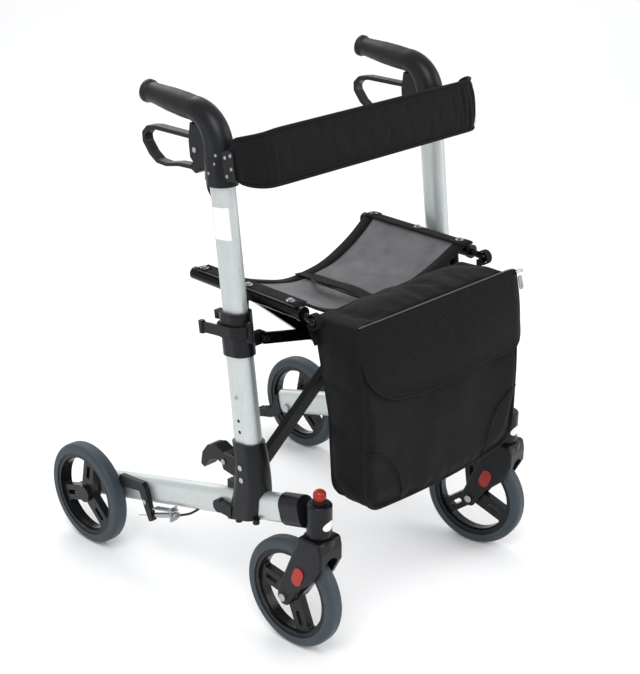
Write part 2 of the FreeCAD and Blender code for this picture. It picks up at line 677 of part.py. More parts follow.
def rim(name, bore, bore_reach):
    """Three wide slotted spokes, a hub and a band, about X; the bore ends bore_reach past the middle."""
    band_out = cylinder(name + "_band", "wheel_radius - tyre_depth - 0.02", "band_width",
                        ("-band_width / 2", "0", "0"), "x")
    band_in = cylinder(name + "_band_room", "wheel_radius - tyre_depth - 8", 40, ("-20", "0", "0"), "x")
    band = cut(name + "_band_ring", band_out, [band_in])
    web = new_body(name + "_web")
    drawing = new_sketch(web, "YZ_Plane")
    add_circle(drawing, "0", "0", "wheel_radius - tyre_depth - 7")
    pad(web, drawing, "web_width", both_ways=True)
    window = new_sketch(web, "YZ_Plane")
    reach = value("wheel_radius - tyre_depth - 11")
    half = value("spoke_half")
    corner_angle = math.radians(30) + math.asin(half / reach)
    right_corner = V(reach * math.cos(corner_angle), reach * math.sin(corner_angle), 0)
    left_corner = V(-right_corner.x, right_corner.y, 0)
    apex = V(0, half / math.cos(math.radians(30)), 0)
    arc = Part.ArcOfCircle(Part.Circle(V(0, 0, 0), V(0, 0, 1), reach), corner_angle, math.pi - corner_angle)
    window.addGeometry(arc, False)
    window.addGeometry(Part.LineSegment(left_corner, apex), False)
    window.addGeometry(Part.LineSegment(apex, right_corner), False)
    for here, there in ((0, 1), (1, 2), (2, 0)):
        window.addConstraint(Sketcher.Constraint("Coincident", here, 2, there, 1))
    window.addConstraint(Sketcher.Constraint("Coincident", 0, 3, -1, 1))
    number = window.addConstraint(Sketcher.Constraint("Radius", 0, reach))
    bind(window, "Constraints[%d]" % number, "wheel_radius - tyre_depth - 11")
    first_window = pocket_through(web, window, "web_width + 2", both_ways=True)
    slot = new_sketch(web, "YZ_Plane")
    add_polygon(slot, (("-4.5", "-62"), ("4.5", "-62"), ("4.5", "-34"), ("-4.5", "-34")))
    first_slot = pocket_through(web, slot, "web_width + 2", both_ways=True)
    pattern = web.newObject("PartDesign::PolarPattern", name + "_pattern")
    pattern.Originals = [first_window, first_slot]
    axis = [item for item in web.Origin.OriginFeatures if item.Role == "X_Axis"][0]
    pattern.Axis = (axis, [""])
    pattern.Angle = 360
    pattern.Occurrences = 3
    web.Tip = pattern
    doc.recompute()
    round_body(web, 3.5, runs_along((1, 0, 0)))
    hub = cylinder(name + "_hub", "hub_radius", "hub_width", ("-hub_width / 2", "0", "0"), "x")
    whole = fuse(name + "_whole", [band, web, hub])
    bore_room = cylinder(name + "_bore", "%s + fit_gap" % bore, "30 + (%s)" % bore_reach,
                         ("-30", "0", "0"), "x")
    return cut(name, whole, [bore_room])


def at_caster_wheel(thing, name, spin):
    """Move a wheel drawn about the X axis to the caster's axle, turned by a spoke angle."""
    moved = doc.addObject("Part::Compound", name)
    moved.Links = [thing]
    place(moved, ("0", "trail", "wheel_radius"), (1, 0, 0), spin)
    doc.recompute()
    return moved


keep_casters(caster_fork(), "caster_fork")
keep_casters(caster_axle(), "caster_axle")
keep_casters(fork_reflectors(), "fork_reflectors")
wheel_tyre = tyre("wheel_tyre")
keep_casters(at_caster_wheel(wheel_tyre, "caster_tyre_stock", 0), "caster_tyre")
caster_wheel_rim = rim("caster_wheel_rim", 4, "30")
left_caster_rim = at_caster_wheel(caster_wheel_rim, "left_rim_stock", "left_caster_spin")
right_caster_rim = at_caster_wheel(caster_wheel_rim, "right_rim_stock", "right_caster_spin")
keep_casters(left_caster_rim, "caster_rim", right_caster_rim)


# ---------------------------------------------------------------- rear wheels
def at_rear_wheel(thing, name, spin):
    moved = doc.addObject("Part::Compound", name)
    moved.Links = [thing]
    place(moved, ("rear_wheel_x", "rear_axle_y", "wheel_radius"), (1, 0, 0), spin)
    doc.recompute()
    return moved


keep_pair(at_rear_wheel(wheel_tyre, "rear_tyre_stock", 0), "rear_tyre")
rear_wheel_rim = rim("rear_wheel_rim", 5, "hub_width / 2 - 4")
keep_pair(at_rear_wheel(rear_wheel_rim, "rear_rim_stock", "rear_spin"), "rear_rim")


# ---------------------------------------------------------------- kerb pedals
def curb_pedal():
    """A plug in the bottom tube's rear end with a ribbed foot pad behind it."""
    plug = on_tube(oval_solid("pedal_plug", "tube_wide - 2 * tube_wall - 0.4",
                              "tube_high - 2 * tube_wall - 0.4", "18",
                              None), "tube_behind + 4")
    flange = on_tube(oval_solid("pedal_flange", "tube_wide", "tube_high", "3.7", None), "tube_behind + 4")
    corners = (("289", "127"), ("301", "118"), ("306", "92"), ("322", "79"), ("345", "72"), ("362", "65"),
               ("367", "56"), ("360", "49"), ("342", "54"), ("312", "62"), ("290", "74"), ("278", "90"))
    arm = profile_solid("pedal_arm", corners, 24, "side_x - 6")
    round_body(arm, 4, runs_along((1, 0, 0)))
    ribs = []
    for number in range(4):
        spot = ("side_x - 16", "%g" % (327 + 10 * number), "%g" % (77.2 - 3.4 * number))
        ribs.append(cylinder("pedal_rib_%d" % number, 2, 20, spot, "x"))
    tube_end = on_tube(oval_solid("pedal_clear", "60", "90", "40", None), "tube_behind + 0.3")
    outside = cut("pedal_outside", fuse("pedal_solid", [arm] + ribs), [tube_end])
    return fuse("curb_pedal", [plug, flange, outside])


keep_pair(curb_pedal(), "curb_pedal")


# ---------------------------------------------------------------- brake arms, adjusters and cables
def brake_arm():
    """Bell crank beside the bottom tube whose rear end bears on the tyre's tread."""
    corners = (("84", "108"), ("95", "103"), ("111", "136"), ("120", "157"), ("165", "149"), ("170", "144"),
               ("180", "160"), ("176", "170"), ("112", "176"), ("104", "168"), ("98", "150"))
    body = profile_solid("arm_stock", corners, 10, "side_x + 22")
    round_body(body, 2, runs_along((1, 0, 0)))
    pin_room = cylinder("arm_pin_room", "3 + fit_gap", 30, ("side_x + 10", "arm_y", "arm_z"), "x")
    wire_room = rod("wire_room", 2.4, ("side_x + 20", "70", "124"), ("side_x + 20", "112", "106.8"))
    return cut("brake_arm", body, [pin_room, wire_room])


keep_pair(brake_arm(), "brake_arm")


def brake_adjuster():
    """Cable stop under the tube with its barrel screw, return spring and inner wire."""
    strap = on_tube(box("stop_strap", (12, 2.5, 62), ("0", "0", "0")), "-176", "15.3", "-29")
    plate = box("stop_plate", (16, 3, 27), ("side_x + 12", "30", "128"))
    barrel_room = rod("barrel_room", 4.1, ("side_x + 20", "20", "144.2"), ("side_x + 20", "44", "134.4"))
    bracket = cut("stop_bracket", fuse("stop_whole", [strap, plate]), [barrel_room])
    barrel = rod("barrel", 4, ("side_x + 20", "16", "145.8"), ("side_x + 20", "38", "136.9"))
    nut = rod("barrel_nut", 6, ("side_x + 20", "20", "144.2"), ("side_x + 20", "28.4", "140.8"))
    spring_out = rod("spring_out", 5, ("side_x + 20", "38.1", "136.8"), ("side_x + 20", "80", "119.9"))
    spring_in = rod("spring_in", 3.6, ("side_x + 20", "38", "136.9"), ("side_x + 20", "90", "115.8"))
    spring = cut("return_spring", spring_out, [spring_in])
    wire = rod("inner_wire", 0.8, ("side_x + 20", "38.1", "136.8"), ("side_x + 20", "131", "99.2"))
    return group("brake_adjuster", [bracket, fuse("barrel_whole", [barrel, nut]), spring, wire])


keep_pair(brake_adjuster(), "brake_adjuster")


def smooth_path(points):
    """Straight runs joined by tangent arcs as large as the runs allow."""
    spots = [V(*point) for point in points]
    edges = []
    start = spots[0]
    for before, corner, after in zip(spots, spots[1:], spots[2:]):
        back = (before - corner)
        onward = (after - corner)
        half_turn = (math.pi - back.getAngle(onward)) / 2
        reach = 0.45 * min(back.Length, onward.Length)
        radius = reach / math.tan(half_turn)
        entry = corner + back.normalize() * reach
        leave = corner + onward.normalize() * reach
        bisector = (back + onward).normalize()
        middle = corner + bisector * (radius / math.cos(half_turn) - radius)
        edges.append(Part.LineSegment(start, entry).toShape())
        edges.append(Part.Arc(entry, middle, leave).toShape())
        start = leave
    edges.append(Part.LineSegment(start, spots[-1]).toShape())
    return Part.Wire(edges)


def brake_cable():
    """The sleeve from the handle down through the posts and the bottom tube to the adjuster."""
    side = value("side_x")
    route = ((0, -58, 785.5), (0, -60, 770), (0, -76, 752), (0, -93, 725), (0, -99, 680), (0, -108, 620),
             (0, -113, 560), (0, -122, 500), (0, -128, 440), (0, -137, 385), (0, -144, 330), (0, -151, 285),
             (0, -147, 250), (0, -122, 228), (0, -84, 213), (0, -48, 197), (4, -24, 170), (13, -7, 155),
             (20, 12, 147.4))
    path = smooth_path([(side + across, along, up) for across, along, up in route])
    radius = value("cable_radius")
    first = path.Edges[0]
    begin = first.FirstParameter
    ring = Part.Wire([Part.makeCircle(radius, first.valueAt(begin), first.tangentAt(begin))])
    tube = path.makePipeShell([ring], True, True)
    expected = math.pi * radius ** 2 * path.Length
    if abs(tube.Volume - expected) > 0.02 * expected:
        raise RuntimeError("the cable's volume is wrong: %.0f, not %.0f" % (tube.Volume, expected))
    thing = doc.addObject("Part::Feature", "brake_cable")
    thing.Shape = tube
    thing.Placement = FreeCAD.Placement()
    return thing


keep_pair(brake_cable(), "brake_cable")

# ---------------------------------------------------------------- handles
GRIP_LENGTH = 120


BEND_Y = "post_foot_y + bend_z * tan(post_lean)"
GRIP_Y = BEND_Y + " + bend_radius * (cos(post_lean) - sin(grip_rise))"
GRIP_Z = "bend_z + bend_radius * (cos(grip_rise) - sin(post_lean))"


def along_grip(thing):
    """Lay a thing drawn along its own z on the grip's line, from the end of the bend."""
    return place(thing, ("side_x", GRIP_Y, GRIP_Z), (1, 0, 0), "grip_rise - 90")


def bend_section(number, angle, wide, deep):
    """An oval across the handle's bend, where its axis leans back by this angle."""
    drawing = doc.addObject("Sketcher::SketchObject", "bend_section_%d" % number)
    add_oval(drawing, wide, deep)
    base = ("side_x", BEND_Y + " + bend_radius * (cos(post_lean) - cos(%s))" % angle,
            "bend_z + bend_radius * (sin(%s) - sin(post_lean))" % angle)
    return place(drawing, base, (1, 0, 0), "-(%s)" % angle)


def handle_housing():
    """Moulded elbow that thins towards the grip, with a core for the grip and lugs for lever and backrest."""
    sleeve = on_post(oval_solid("housing_sleeve", "42", "57", "46", None), "housing_from")
    neck = doc.addObject("Sketcher::SketchObject", "housing_neck")
    add_oval(neck, "40.6", "55.6")
    on_post(neck, "housing_from + 24")
    shoulder = doc.addObject("Sketcher::SketchObject", "housing_shoulder")
    add_oval(shoulder, "40.6", "55")
    on_post(shoulder, "housing_from + 50")
    sections = [neck, shoulder, bend_section(2, "post_lean + 30", "40.5", "49.5"),
                bend_section(3, "post_lean + 55", "40.2", "45"), bend_section(4, "90 - grip_rise", "39.6", "41")]
    bend = doc.addObject("Part::Loft", "housing_bend")
    bend.Sections = sections
    bend.Solid = True
    core = along_grip(cylinder("housing_core", 13, GRIP_LENGTH - 8, ("0", "0", "0"), "z"))
    cheeks = []
    for name, across in (("lever_cheek_a", "side_x + 13.6"), ("lever_cheek_b", "side_x - 13.6")):
        corners = (("-80", "806"), ("-52", "808"), ("-37", "821"), ("-34", "848"), ("-38", "878"),
                   ("-80", "872"))
        cheeks.append(profile_solid(name, corners, 6, across))
    boss = cylinder("cable_boss", 5, 22, ("side_x", "-60", "786"), "z")
    backrest_lug = box("backrest_lug", (25, 36, 42), ("side_x - 16", "-145", "806"))
    lug_round = rounded("backrest_lug_round", backrest_lug, 3, runs_along((0, 0, 1)))
    whole = fuse("housing_whole", [sleeve, bend, core, boss, lug_round] + cheeks)
    post_socket = on_post(oval_solid("housing_socket", "inner_wide + 0.2", "inner_deep + 0.2", "60", None),
                          "780")
    cap_line = "inner_from + inner_length + 0.2"
    socket_end = on_post(box("socket_end", (80, 80, 60), ("0", "0", "0")), cap_line, "-40", "-40")
    socket = cut("socket_room", post_socket, [socket_end])
    pin_room = cylinder("lever_pin_room", "3 + fit_gap", 60, ("side_x - 30", "lever_y", "lever_z"), "x")
    lever_room = box("lever_root_room", (21, 40, 60), ("side_x - 10.5", "-60.5", "798"))
    screws = [cylinder("handle_screw_room_%d" % number, 2.6, 20, ("side_x + 13", along, up), "x")
              for number, (along, up) in enumerate(handle_screw_places)]
    return cut("handle_housing", whole, [socket, pin_room, lever_room] + screws)


handle_screw_places = (("-103", "838"), ("-100", "824"), ("-86", "806"))
keep_pair(handle_housing(), "handle_housing")


def grip():
    """Turned rubber sleeve with a palm swell and an end flange."""
    length = str(GRIP_LENGTH)
    corners = (("13 + fit_gap", "0.3"), ("20", "0.3"), ("20.6", "26"), ("19.8", "58"), ("17.6", "88"),
               ("16.6", "106"), ("19.4", "112"), ("19.4", length + " - 3"), ("16", length), ("0", length),
               ("0", length + " - 7.7"), ("13 + fit_gap", length + " - 7.7"))
    body = turned_solid("grip_stock", corners)
    return along_grip(body)


keep_pair(grip(), "grip")


def brake_lever():
    """A flat strap bent into a closed finger loop, with its root between the housing's cheeks."""
    outside = (("-58", "845"), ("-46", "855"), ("58", "853"), ("80", "849"), ("93", "836"), ("92", "820"),
               ("76", "801"),
               ("58", "790"), ("34", "789"), ("2", "796"), ("-30", "798"), ("-42", "792"), ("-50",
                                                                                            "800"), ("-58",
                                                                                                     "828"))
    inside = (("-32", "848"), ("56", "846"), ("76", "841"), ("86", "831"), ("84", "822"), ("70", "806"),
              ("54", "796"),
              ("34", "795"), ("4", "802"), ("-28", "805"), ("-38", "814"), ("-38", "838"))
    body = profile_solid("lever_stock", outside, 17, "side_x")
    round_body(body, 7, runs_along((1, 0, 0)))
    loop = profile_solid("lever_loop", inside, 40, "side_x")
    round_body(loop, 6, runs_along((1, 0, 0)))
    pin_room = cylinder("lever_pin_hole", "3 + fit_gap", 40, ("side_x - 20", "lever_y", "lever_z"), "x")
    return cut("brake_lever", body, [loop, pin_room])


keep_pair(brake_lever(), "brake_lever")


def handle_screws():
    """Lever pivot screw, housing screws and the two screws that hold the backrest."""
    pivot = cylinder("pivot_screw", 3, 38, ("side_x - 18", "lever_y", "lever_z"), "x")
    pivot_head = cylinder("pivot_screw_head", 4.5, 2.5, ("side_x + 16.8", "lever_y", "lever_z"), "x")
    screws = [fuse("pivot_screw_whole", [pivot, pivot_head])]
    for number, (along, up) in enumerate(handle_screw_places):
        screws.append(cylinder("handle_screw_%d" % number, 2.55, 5.8, ("side_x + 15.6", along, up), "x"))
    return group("handle_screws", screws)


keep_pair(handle_screws(), "handle_screws")

# ---------------------------------------------------------------- cross frames: a bar with its seat rail
BAR_ANGLE = "atan((rail_z - pivot_z) / (rail_x + pivot_x))"
BAR_LENGTH = "(rail_x + pivot_x) / cos(%s)" % BAR_ANGLE
CENTRE_Z = "pivot_z + pivot_x * tan(%s)" % BAR_ANGLE
screw_places = ("2", "-107", "-206")


def cross_frame(name, bar_y):
    """A flat bar from the right lower pivot up to the left seat rail, drawn for the bar's own plane."""
    def bar_piece(label, start, length, deep, thick):
        piece = doc.addObject("Part::Box", label)
        for side, size in (("Length", length), ("Width", thick), ("Height", deep)):
            bind(piece, side, size)
        base = ("-pivot_x + (%s) * cos(%s) + (%s) / 2 * sin(%s)" % (start, BAR_ANGLE, deep, BAR_ANGLE),
                "%s - (%s) / 2" % (bar_y, thick),
                "pivot_z + (%s) * sin(%s) - (%s) / 2 * cos(%s)" % (start, BAR_ANGLE, deep, BAR_ANGLE))
        return place(piece, base, (0, 1, 0), "-(%s)" % BAR_ANGLE)

    bar = bar_piece(name + "_bar", "0", BAR_LENGTH, "bar_deep", "bar_thick")
    end = cylinder(name + "_end", "bar_deep / 2", "bar_thick",
                   ("-pivot_x", "%s - bar_thick / 2" % bar_y, "pivot_z"), "y")
    rail = cylinder(name + "_rail", "rail_radius", "rail_length", ("rail_x", "rail_front", "rail_z"), "y")
    rear_cap = ball(name + "_rear_cap", "rail_radius - 1",
                    ("rail_x", "rail_front + rail_length - 7", "rail_z"))
    collar = cylinder(name + "_collar", "rail_radius + 1.5", 6, ("rail_x", "rail_front - 5", "rail_z"), "y")
    hook = rod(name + "_hook", 6, ("rail_x", "rail_front", "rail_z"),
               ("rail_x + 2", "rail_front - 28", "rail_z - 4"))
    knob = ball(name + "_knob", 9, ("rail_x + 2", "rail_front - 30", "rail_z - 4.3"))
    whole = fuse(name + "_whole", [bar, end, rail, rear_cap, collar, hook, knob])
    hollow = bar_piece(name + "_hollow", "24", "170", "bar_deep - 4", "bar_thick - 4")
    hollow_top = bar_piece(name + "_hollow_top", "320", "190", "bar_deep - 4", "bar_thick - 4")
    rail_hollow = cylinder(name + "_rail_hollow", "rail_radius - 1.6", "rail_length - 30",
                           ("rail_x", "rail_front + 12", "rail_z"), "y")
    rooms = [cylinder(name + "_pivot_room", "4 + fit_gap", 40, ("-pivot_x", "%s - 20" % bar_y, "pivot_z"),
                      "y"),
             cylinder(name + "_centre_room", "4 + fit_gap", 40, ("0", "%s - 20" % bar_y, CENTRE_Z), "y")]
    for number, along in enumerate(screw_places):
        rooms.append(cylinder(name + "_screw_room_%d" % number, "2 + fit_gap", 20,
                              ("rail_x", along, "rail_z"), "z"))
    return cut(name, whole, [hollow, hollow_top, rail_hollow] + rooms)


keep(cross_frame("cross_frame_left", "bar_a_y"), "cross_frame_left")
other_frame = cross_frame("cross_frame_other", "bar_b_y")
mirrored_frame = doc.addObject("Part::Mirroring", "cross_frame_right")
mirrored_frame.Source = other_frame
mirrored_frame.Normal = V(1, 0, 0)
doc.recompute()
keep(mirrored_frame, "cross_frame_right")

bolt_shank = cylinder("cross_bolt_shank", 4, "bar_a_y - bar_b_y + bar_thick + 8",
                      ("0", "bar_b_y - bar_thick / 2 - 4", CENTRE_Z), "y")
bolt_head = cylinder("cross_bolt_head", 8, 4, ("0", "bar_b_y - bar_thick / 2 - 4.2", CENTRE_Z), "y")
bolt_nut = cylinder("cross_bolt_nut", 8, 4, ("0", "bar_a_y + bar_thick / 2 + 0.2", CENTRE_Z), "y")
keep(fuse("cross_pivot_bolt", [bolt_shank, bolt_head, bolt_nut]), "cross_pivot_bolt")


def link_bar(name, spacer):
    """Flat link from the collar's lug towards the cross bar; the left one needs a spacer to reach its bar."""
    near = "bar_b_y - bar_thick / 2 - 6"
    far_x = "link_x - link_length * cos(link_dip)"
    far_z = "link_z - link_length * sin(link_dip)"
    flat = doc.addObject("Part::Box", name + "_flat")
    for side, size in (("Length", "link_length"), ("Width", "5"), ("Height", "20")):
        bind(flat, side, size)
    place(flat, (far_x + " + 10 * sin(link_dip)", near, far_z + " - 10 * cos(link_dip)"), (0, 1, 0),
          "-link_dip")
    pieces = [flat, cylinder(name + "_outer_eye", 10, 5, ("link_x", near, "link_z"), "y"),
              cylinder(name + "_inner_eye", 10, 5, (far_x, near, far_z), "y"),
              cylinder(name + "_rivet", 5, 2, (far_x, near + " - 2", far_z), "y")]
    if spacer:
        pieces.append(cylinder(name + "_spacer", 6, "bar_a_y - bar_b_y + 5.5", (far_x, near, far_z), "y"))
    pin_room = cylinder(name + "_pin_room", "3 + fit_gap", 20, ("link_x", near + " - 5", "link_z"), "y")
    return cut(name, fuse(name + "_whole", pieces), [pin_room])


keep(link_bar("link_left", True), "link_bar_left")
plain_link = link_bar("link_plain", False)
mirrored_link = doc.addObject("Part::Mirroring", "link_bar_right")
mirrored_link.Source = plain_link
mirrored_link.Normal = V(1, 0, 0)
doc.recompute()
keep(mirrored_link, "link_bar_right")


# ---------------------------------------------------------------- fasteners of the side frames
def frame_fasteners():
    """Rear axle, lower pivot bolt, link and lever pins, bracket bolts, brake pivot and memory button."""
    axle = cylinder("axle", 5, "rear_wheel_x + hub_width / 2 - 5 - 237",
                    ("237", "rear_axle_y", "wheel_radius"), "x")
    axle_nut = cylinder("axle_nut", 9, 5, ("233.5", "rear_axle_y", "wheel_radius"), "x")
    pieces = [fuse("rear_axle", [axle, axle_nut])]
    pivot = cylinder("base_bolt", 4, 55, ("pivot_x", "bar_b_y - 19.5", "pivot_z"), "y")
    pivot_heads = [cylinder("base_bolt_head", 7, 4, ("pivot_x", "bar_b_y - 18.3", "pivot_z"), "y"),
                   cylinder("base_bolt_nut", 7, 4, ("pivot_x", "bar_a_y + 14.3", "pivot_z"), "y")]
    pieces.append(fuse("base_bolt_whole", [pivot] + pivot_heads))
    link_pin = cylinder("link_pin", 3, 24, ("link_x", "bar_b_y - 16", "link_z"), "y")
    link_head = cylinder("link_pin_head", 6, 2.5, ("link_x", "bar_b_y - 16", "link_z"), "y")
    pieces.append(fuse("link_pin_whole", [link_pin, link_head]))
    lock_pin = cylinder("lock_pin", 3, 40, ("side_x - 20", "-106", "300"), "x")
    lock_head = cylinder("lock_pin_head", 5, 2.5, ("side_x + 18.2", "-106", "300"), "x")
    pieces.append(fuse("lock_pin_whole", [lock_pin, lock_head]))
    pieces.append(hinge_disc("clamp_pin", 2.5, BAND_FROM - 8, BAND_TALL + 16))
    for number, along in enumerate(bolt_places):
        spot = ("post_foot_y + %s * sin(post_lean)" % along, "%s * cos(post_lean)" % along)
        shank = cylinder("bracket_bolt_%d" % number, 3, 10, ("side_x + 14",) + spot, "x")
        head = cylinder("bracket_head_%d" % number, 5, 4, ("side_x + 21.6",) + spot, "x")
        pieces.append(fuse("bracket_bolt_whole_%d" % number, [shank, head]))
    arm_pin = cylinder("arm_pin", 3, 18, ("side_x + 11", "arm_y", "arm_z"), "x")
    arm_head = cylinder("arm_pin_head", 5, 2, ("side_x + 27.3", "arm_y", "arm_z"), "x")
    pieces.append(fuse("arm_pin_whole", [arm_pin, arm_head]))
    button = cylinder("memory_pin", 3.2, 3.4, ("side_x + 15.8", "0", "0"), "x")
    along = hole_places[-1]
    place(button, ("side_x + 15.8", "post_foot_y + %s * sin(post_lean)" % along,
                   "%s * cos(post_lean)" % along),
          (0, 1, 0), 90)
    pieces.append(button)
    return group("frame_fasteners", pieces)


keep_pair(frame_fasteners(), "frame_fasteners")


# ---------------------------------------------------------------- seat, its screws, backrest and bag
def seat_screws():
    """Round-headed screws with broad washers along the left rail."""
    screws = []
    for number, along in enumerate(screw_places):
        top = "rail_z + rail_radius + 0.4 + seat_thick"
        shank = cylinder("seat_shank_%d" % number, 2, 13, ("rail_x", along, "rail_z + rail_radius - 9"),
                         "z")
        washer = cylinder("seat_washer_%d" % number, 7.5, 1.6, ("rail_x", along, top + " + 0.1"), "z")
        head = cylinder("seat_head_%d" % number, 4, 3, ("rail_x", along, top + " + 1.6"), "z")
        screws.append(fuse("seat_screw_%d" % number, [shank, washer, head]))
    return group("seat_screws", screws)


keep_pair(seat_screws(), "seat_screws")


def seat_sling():
    """The fabric: flat over both rails, sagging in one arc between them."""
    body = new_body("sling_stock")
    drawing = new_sketch(body, "XZ_Plane")
    half = value("rail_x - rail_radius")
    flap = value("rail_x + rail_radius")
    low = value("rail_z + rail_radius + 0.4")
    top = value("rail_z + rail_radius + 0.4 + seat_thick")
    dip = value("seat_sag")
    corners = [V(-flap, low, 0), V(-half, low, 0), V(half, low, 0), V(flap, low, 0), V(flap, top, 0),
               V(half, top, 0),
               V(-half, top, 0), V(-flap, top, 0)]
    drawing.addGeometry(Part.LineSegment(corners[0], corners[1]), False)
    drawing.addGeometry(Part.Arc(corners[1], V(0, low - dip, 0), corners[2]), False)
    drawing.addGeometry(Part.LineSegment(corners[2], corners[3]), False)
    drawing.addGeometry(Part.LineSegment(corners[3], corners[4]), False)
    drawing.addGeometry(Part.LineSegment(corners[4], corners[5]), False)
    drawing.addGeometry(Part.Arc(corners[5], V(0, top - dip, 0), corners[6]), False)
    drawing.addGeometry(Part.LineSegment(corners[6], corners[7]), False)
    drawing.addGeometry(Part.LineSegment(corners[7], corners[0]), False)
    pad(body, drawing, "244", both_ways=True)
    place(body, ("0", "-107", "0"))
    doc.recompute()
    holes = []
    for sign in ("", "-"):
        for number, along in enumerate(screw_places):
            name = "sling_hole_%s%d" % ("right" if sign else "left", number)
            holes.append(cylinder(name, 2.5, 10, (sign + "rail_x", along, "rail_z + rail_radius - 3"), "z"))
    return cut("seat_sling", body, holes)


keep(seat_sling(), "seat_sling")


def backrest():
    """The padded band, bowed round in front of the handles and back to their lugs."""
    body = new_body("backrest")
    drawing = new_sketch(body, "XY_Plane")
    arm = "58"
    inner = "back_half - back_thick"
    add_polygon(drawing, (("-back_half", arm), ("-back_half", "0"), ("back_half", "0"), ("back_half", arm),
                          (inner, arm), (inner, "back_thick"), ("back_thick - back_half", "back_thick"),
                          ("back_thick - back_half", arm)))
    pad(body, drawing, "back_high")

    def outer_corner(edge):
        return runs_along((0, 0, 1))(edge) and edge.CenterOfMass.y < 1

    def inner_corner(edge):
        inside = abs(edge.CenterOfMass.y - value("back_thick")) < 0.1
        return runs_along((0, 0, 1))(edge) and inside

    round_body(body, 40, outer_corner)
    round_body(body, 28, inner_corner)
    return place(body, ("0", "back_front_y", "back_low_z"), (1, 0, 0), "-back_lean")


keep(backrest(), "backrest")


def bag():
    """The shopping bag's outer shape, hung from the rails' front ends."""
    corners = (("-240", "592"), ("-338", "588"), ("-366", "540"), ("-367", "300"), ("-352", "268"),
               ("-306", "266"),
               ("-288", "290"), ("-284", "420"))
    body = profile_solid("bag_stock", corners, "2 * bag_half", "0")
    round_body(body, 12, lambda edge: edge.Length < value("2 * bag_half") - 1)
    return body


keep(bag(), "bag")

# ---------------------------------------------------------------- checks and files
doc.recompute()
for thing in doc.Objects:
    if "Invalid" in thing.State or "Error" in thing.State:
        raise RuntimeError("%s is %s" % (thing.Label, thing.State))
for thing in sub_parts:
    if thing.Shape.isNull() or not thing.Shape.isValid() or not thing.Shape.Solids:
        raise RuntimeError("%s has no valid solid" % thing.Label)
os.makedirs("parts", exist_ok=True)
for thing in sub_parts:
    thing.Shape.exportStep("parts/%s.step" % thing.Label)
print(len(sub_parts), "sub-parts written")
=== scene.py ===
# Rollator walker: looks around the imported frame.  Metres, +Z up, rolls forward along -Y, +X is the user's left.
import math
import random
import bmesh
import bpy
from mathutils import Matrix, Vector


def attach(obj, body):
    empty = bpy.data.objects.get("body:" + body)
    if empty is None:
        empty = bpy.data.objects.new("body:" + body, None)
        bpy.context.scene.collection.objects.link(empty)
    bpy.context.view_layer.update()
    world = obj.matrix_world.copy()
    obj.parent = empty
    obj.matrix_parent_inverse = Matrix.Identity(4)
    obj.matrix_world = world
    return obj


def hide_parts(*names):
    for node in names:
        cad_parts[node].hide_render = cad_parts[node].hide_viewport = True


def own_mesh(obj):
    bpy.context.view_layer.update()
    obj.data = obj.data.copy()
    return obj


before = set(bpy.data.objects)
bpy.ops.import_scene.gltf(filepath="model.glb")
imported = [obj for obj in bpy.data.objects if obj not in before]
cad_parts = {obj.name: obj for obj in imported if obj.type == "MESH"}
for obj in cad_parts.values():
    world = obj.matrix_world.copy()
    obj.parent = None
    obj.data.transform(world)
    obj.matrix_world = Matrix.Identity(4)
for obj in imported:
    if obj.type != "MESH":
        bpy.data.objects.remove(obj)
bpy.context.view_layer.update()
sides = (("right", -1), ("left", 1))


# small mesh helpers
def link(obj):
    bpy.context.scene.collection.objects.link(obj)
    return obj


def meshPiece(name, verts, faces, material, smooth=True):
    mesh = bpy.data.meshes.new(name)
    mesh.from_pydata([tuple(v) for v in verts], [], faces)
    mesh.validate()
    mesh.update()
    obj = link(bpy.data.objects.new(name, mesh))
    obj.data.materials.append(material)
    if smooth:
        mesh.polygons.foreach_set("use_smooth", [True] * len(mesh.polygons))
    return obj


def gridPiece(name, rows, material, closeRows=False, closeCols=False, caps=False, flip=False):
    # rows is a list of equally long lists of points
    count = len(rows[0])
    verts = [point for row in rows for point in row]
    faces = []
    rowRange = len(rows) if closeRows else len(rows) - 1
    colRange = count if closeCols else count - 1
    for r in range(rowRange):
        for c in range(colRange):
            a, b = r * count + c, r * count + (c + 1) % count
            d, e = ((r + 1) % len(rows)) * count + c, ((r + 1) % len(rows)) * count + (c + 1) % count
            faces.append((a, d, e, b) if flip else (a, b, e, d))
    if caps:
        first = list(range(count))
        last = [(len(rows) - 1) * count + c for c in range(count)]
        faces.append(first if flip else first[::-1])
        faces.append(last[::-1] if flip else last)
    return meshPiece(name, verts, faces, material)


def sheetSolid(name, rows, thickness, material):
    obj = gridPiece(name, rows, material)
    thick = obj.modifiers.new("thickness", "SOLIDIFY")
    thick.thickness = thickness
    thick.offset = 0
    return obj


def cordPiece(name, points, radius, material, closed=False, smoothLine=True):
    data = bpy.data.curves.new(name, "CURVE")
    data.dimensions = "3D"
    data.bevel_depth = radius
    data.bevel_resolution = 3
    spline = data.splines.new("NURBS" if smoothLine else "POLY")
    spline.points.add(len(points) - 1)
    for spot, point in zip(spline.points, points):
        spot.co = (*point, 1)
    spline.use_cyclic_u = closed
    if smoothLine:
        spline.order_u = 3
        spline.use_endpoint_u = not closed
        spline.resolution_u = 6
    data.use_fill_caps = True
    data.materials.append(material)
    return link(bpy.data.objects.new(name, data))


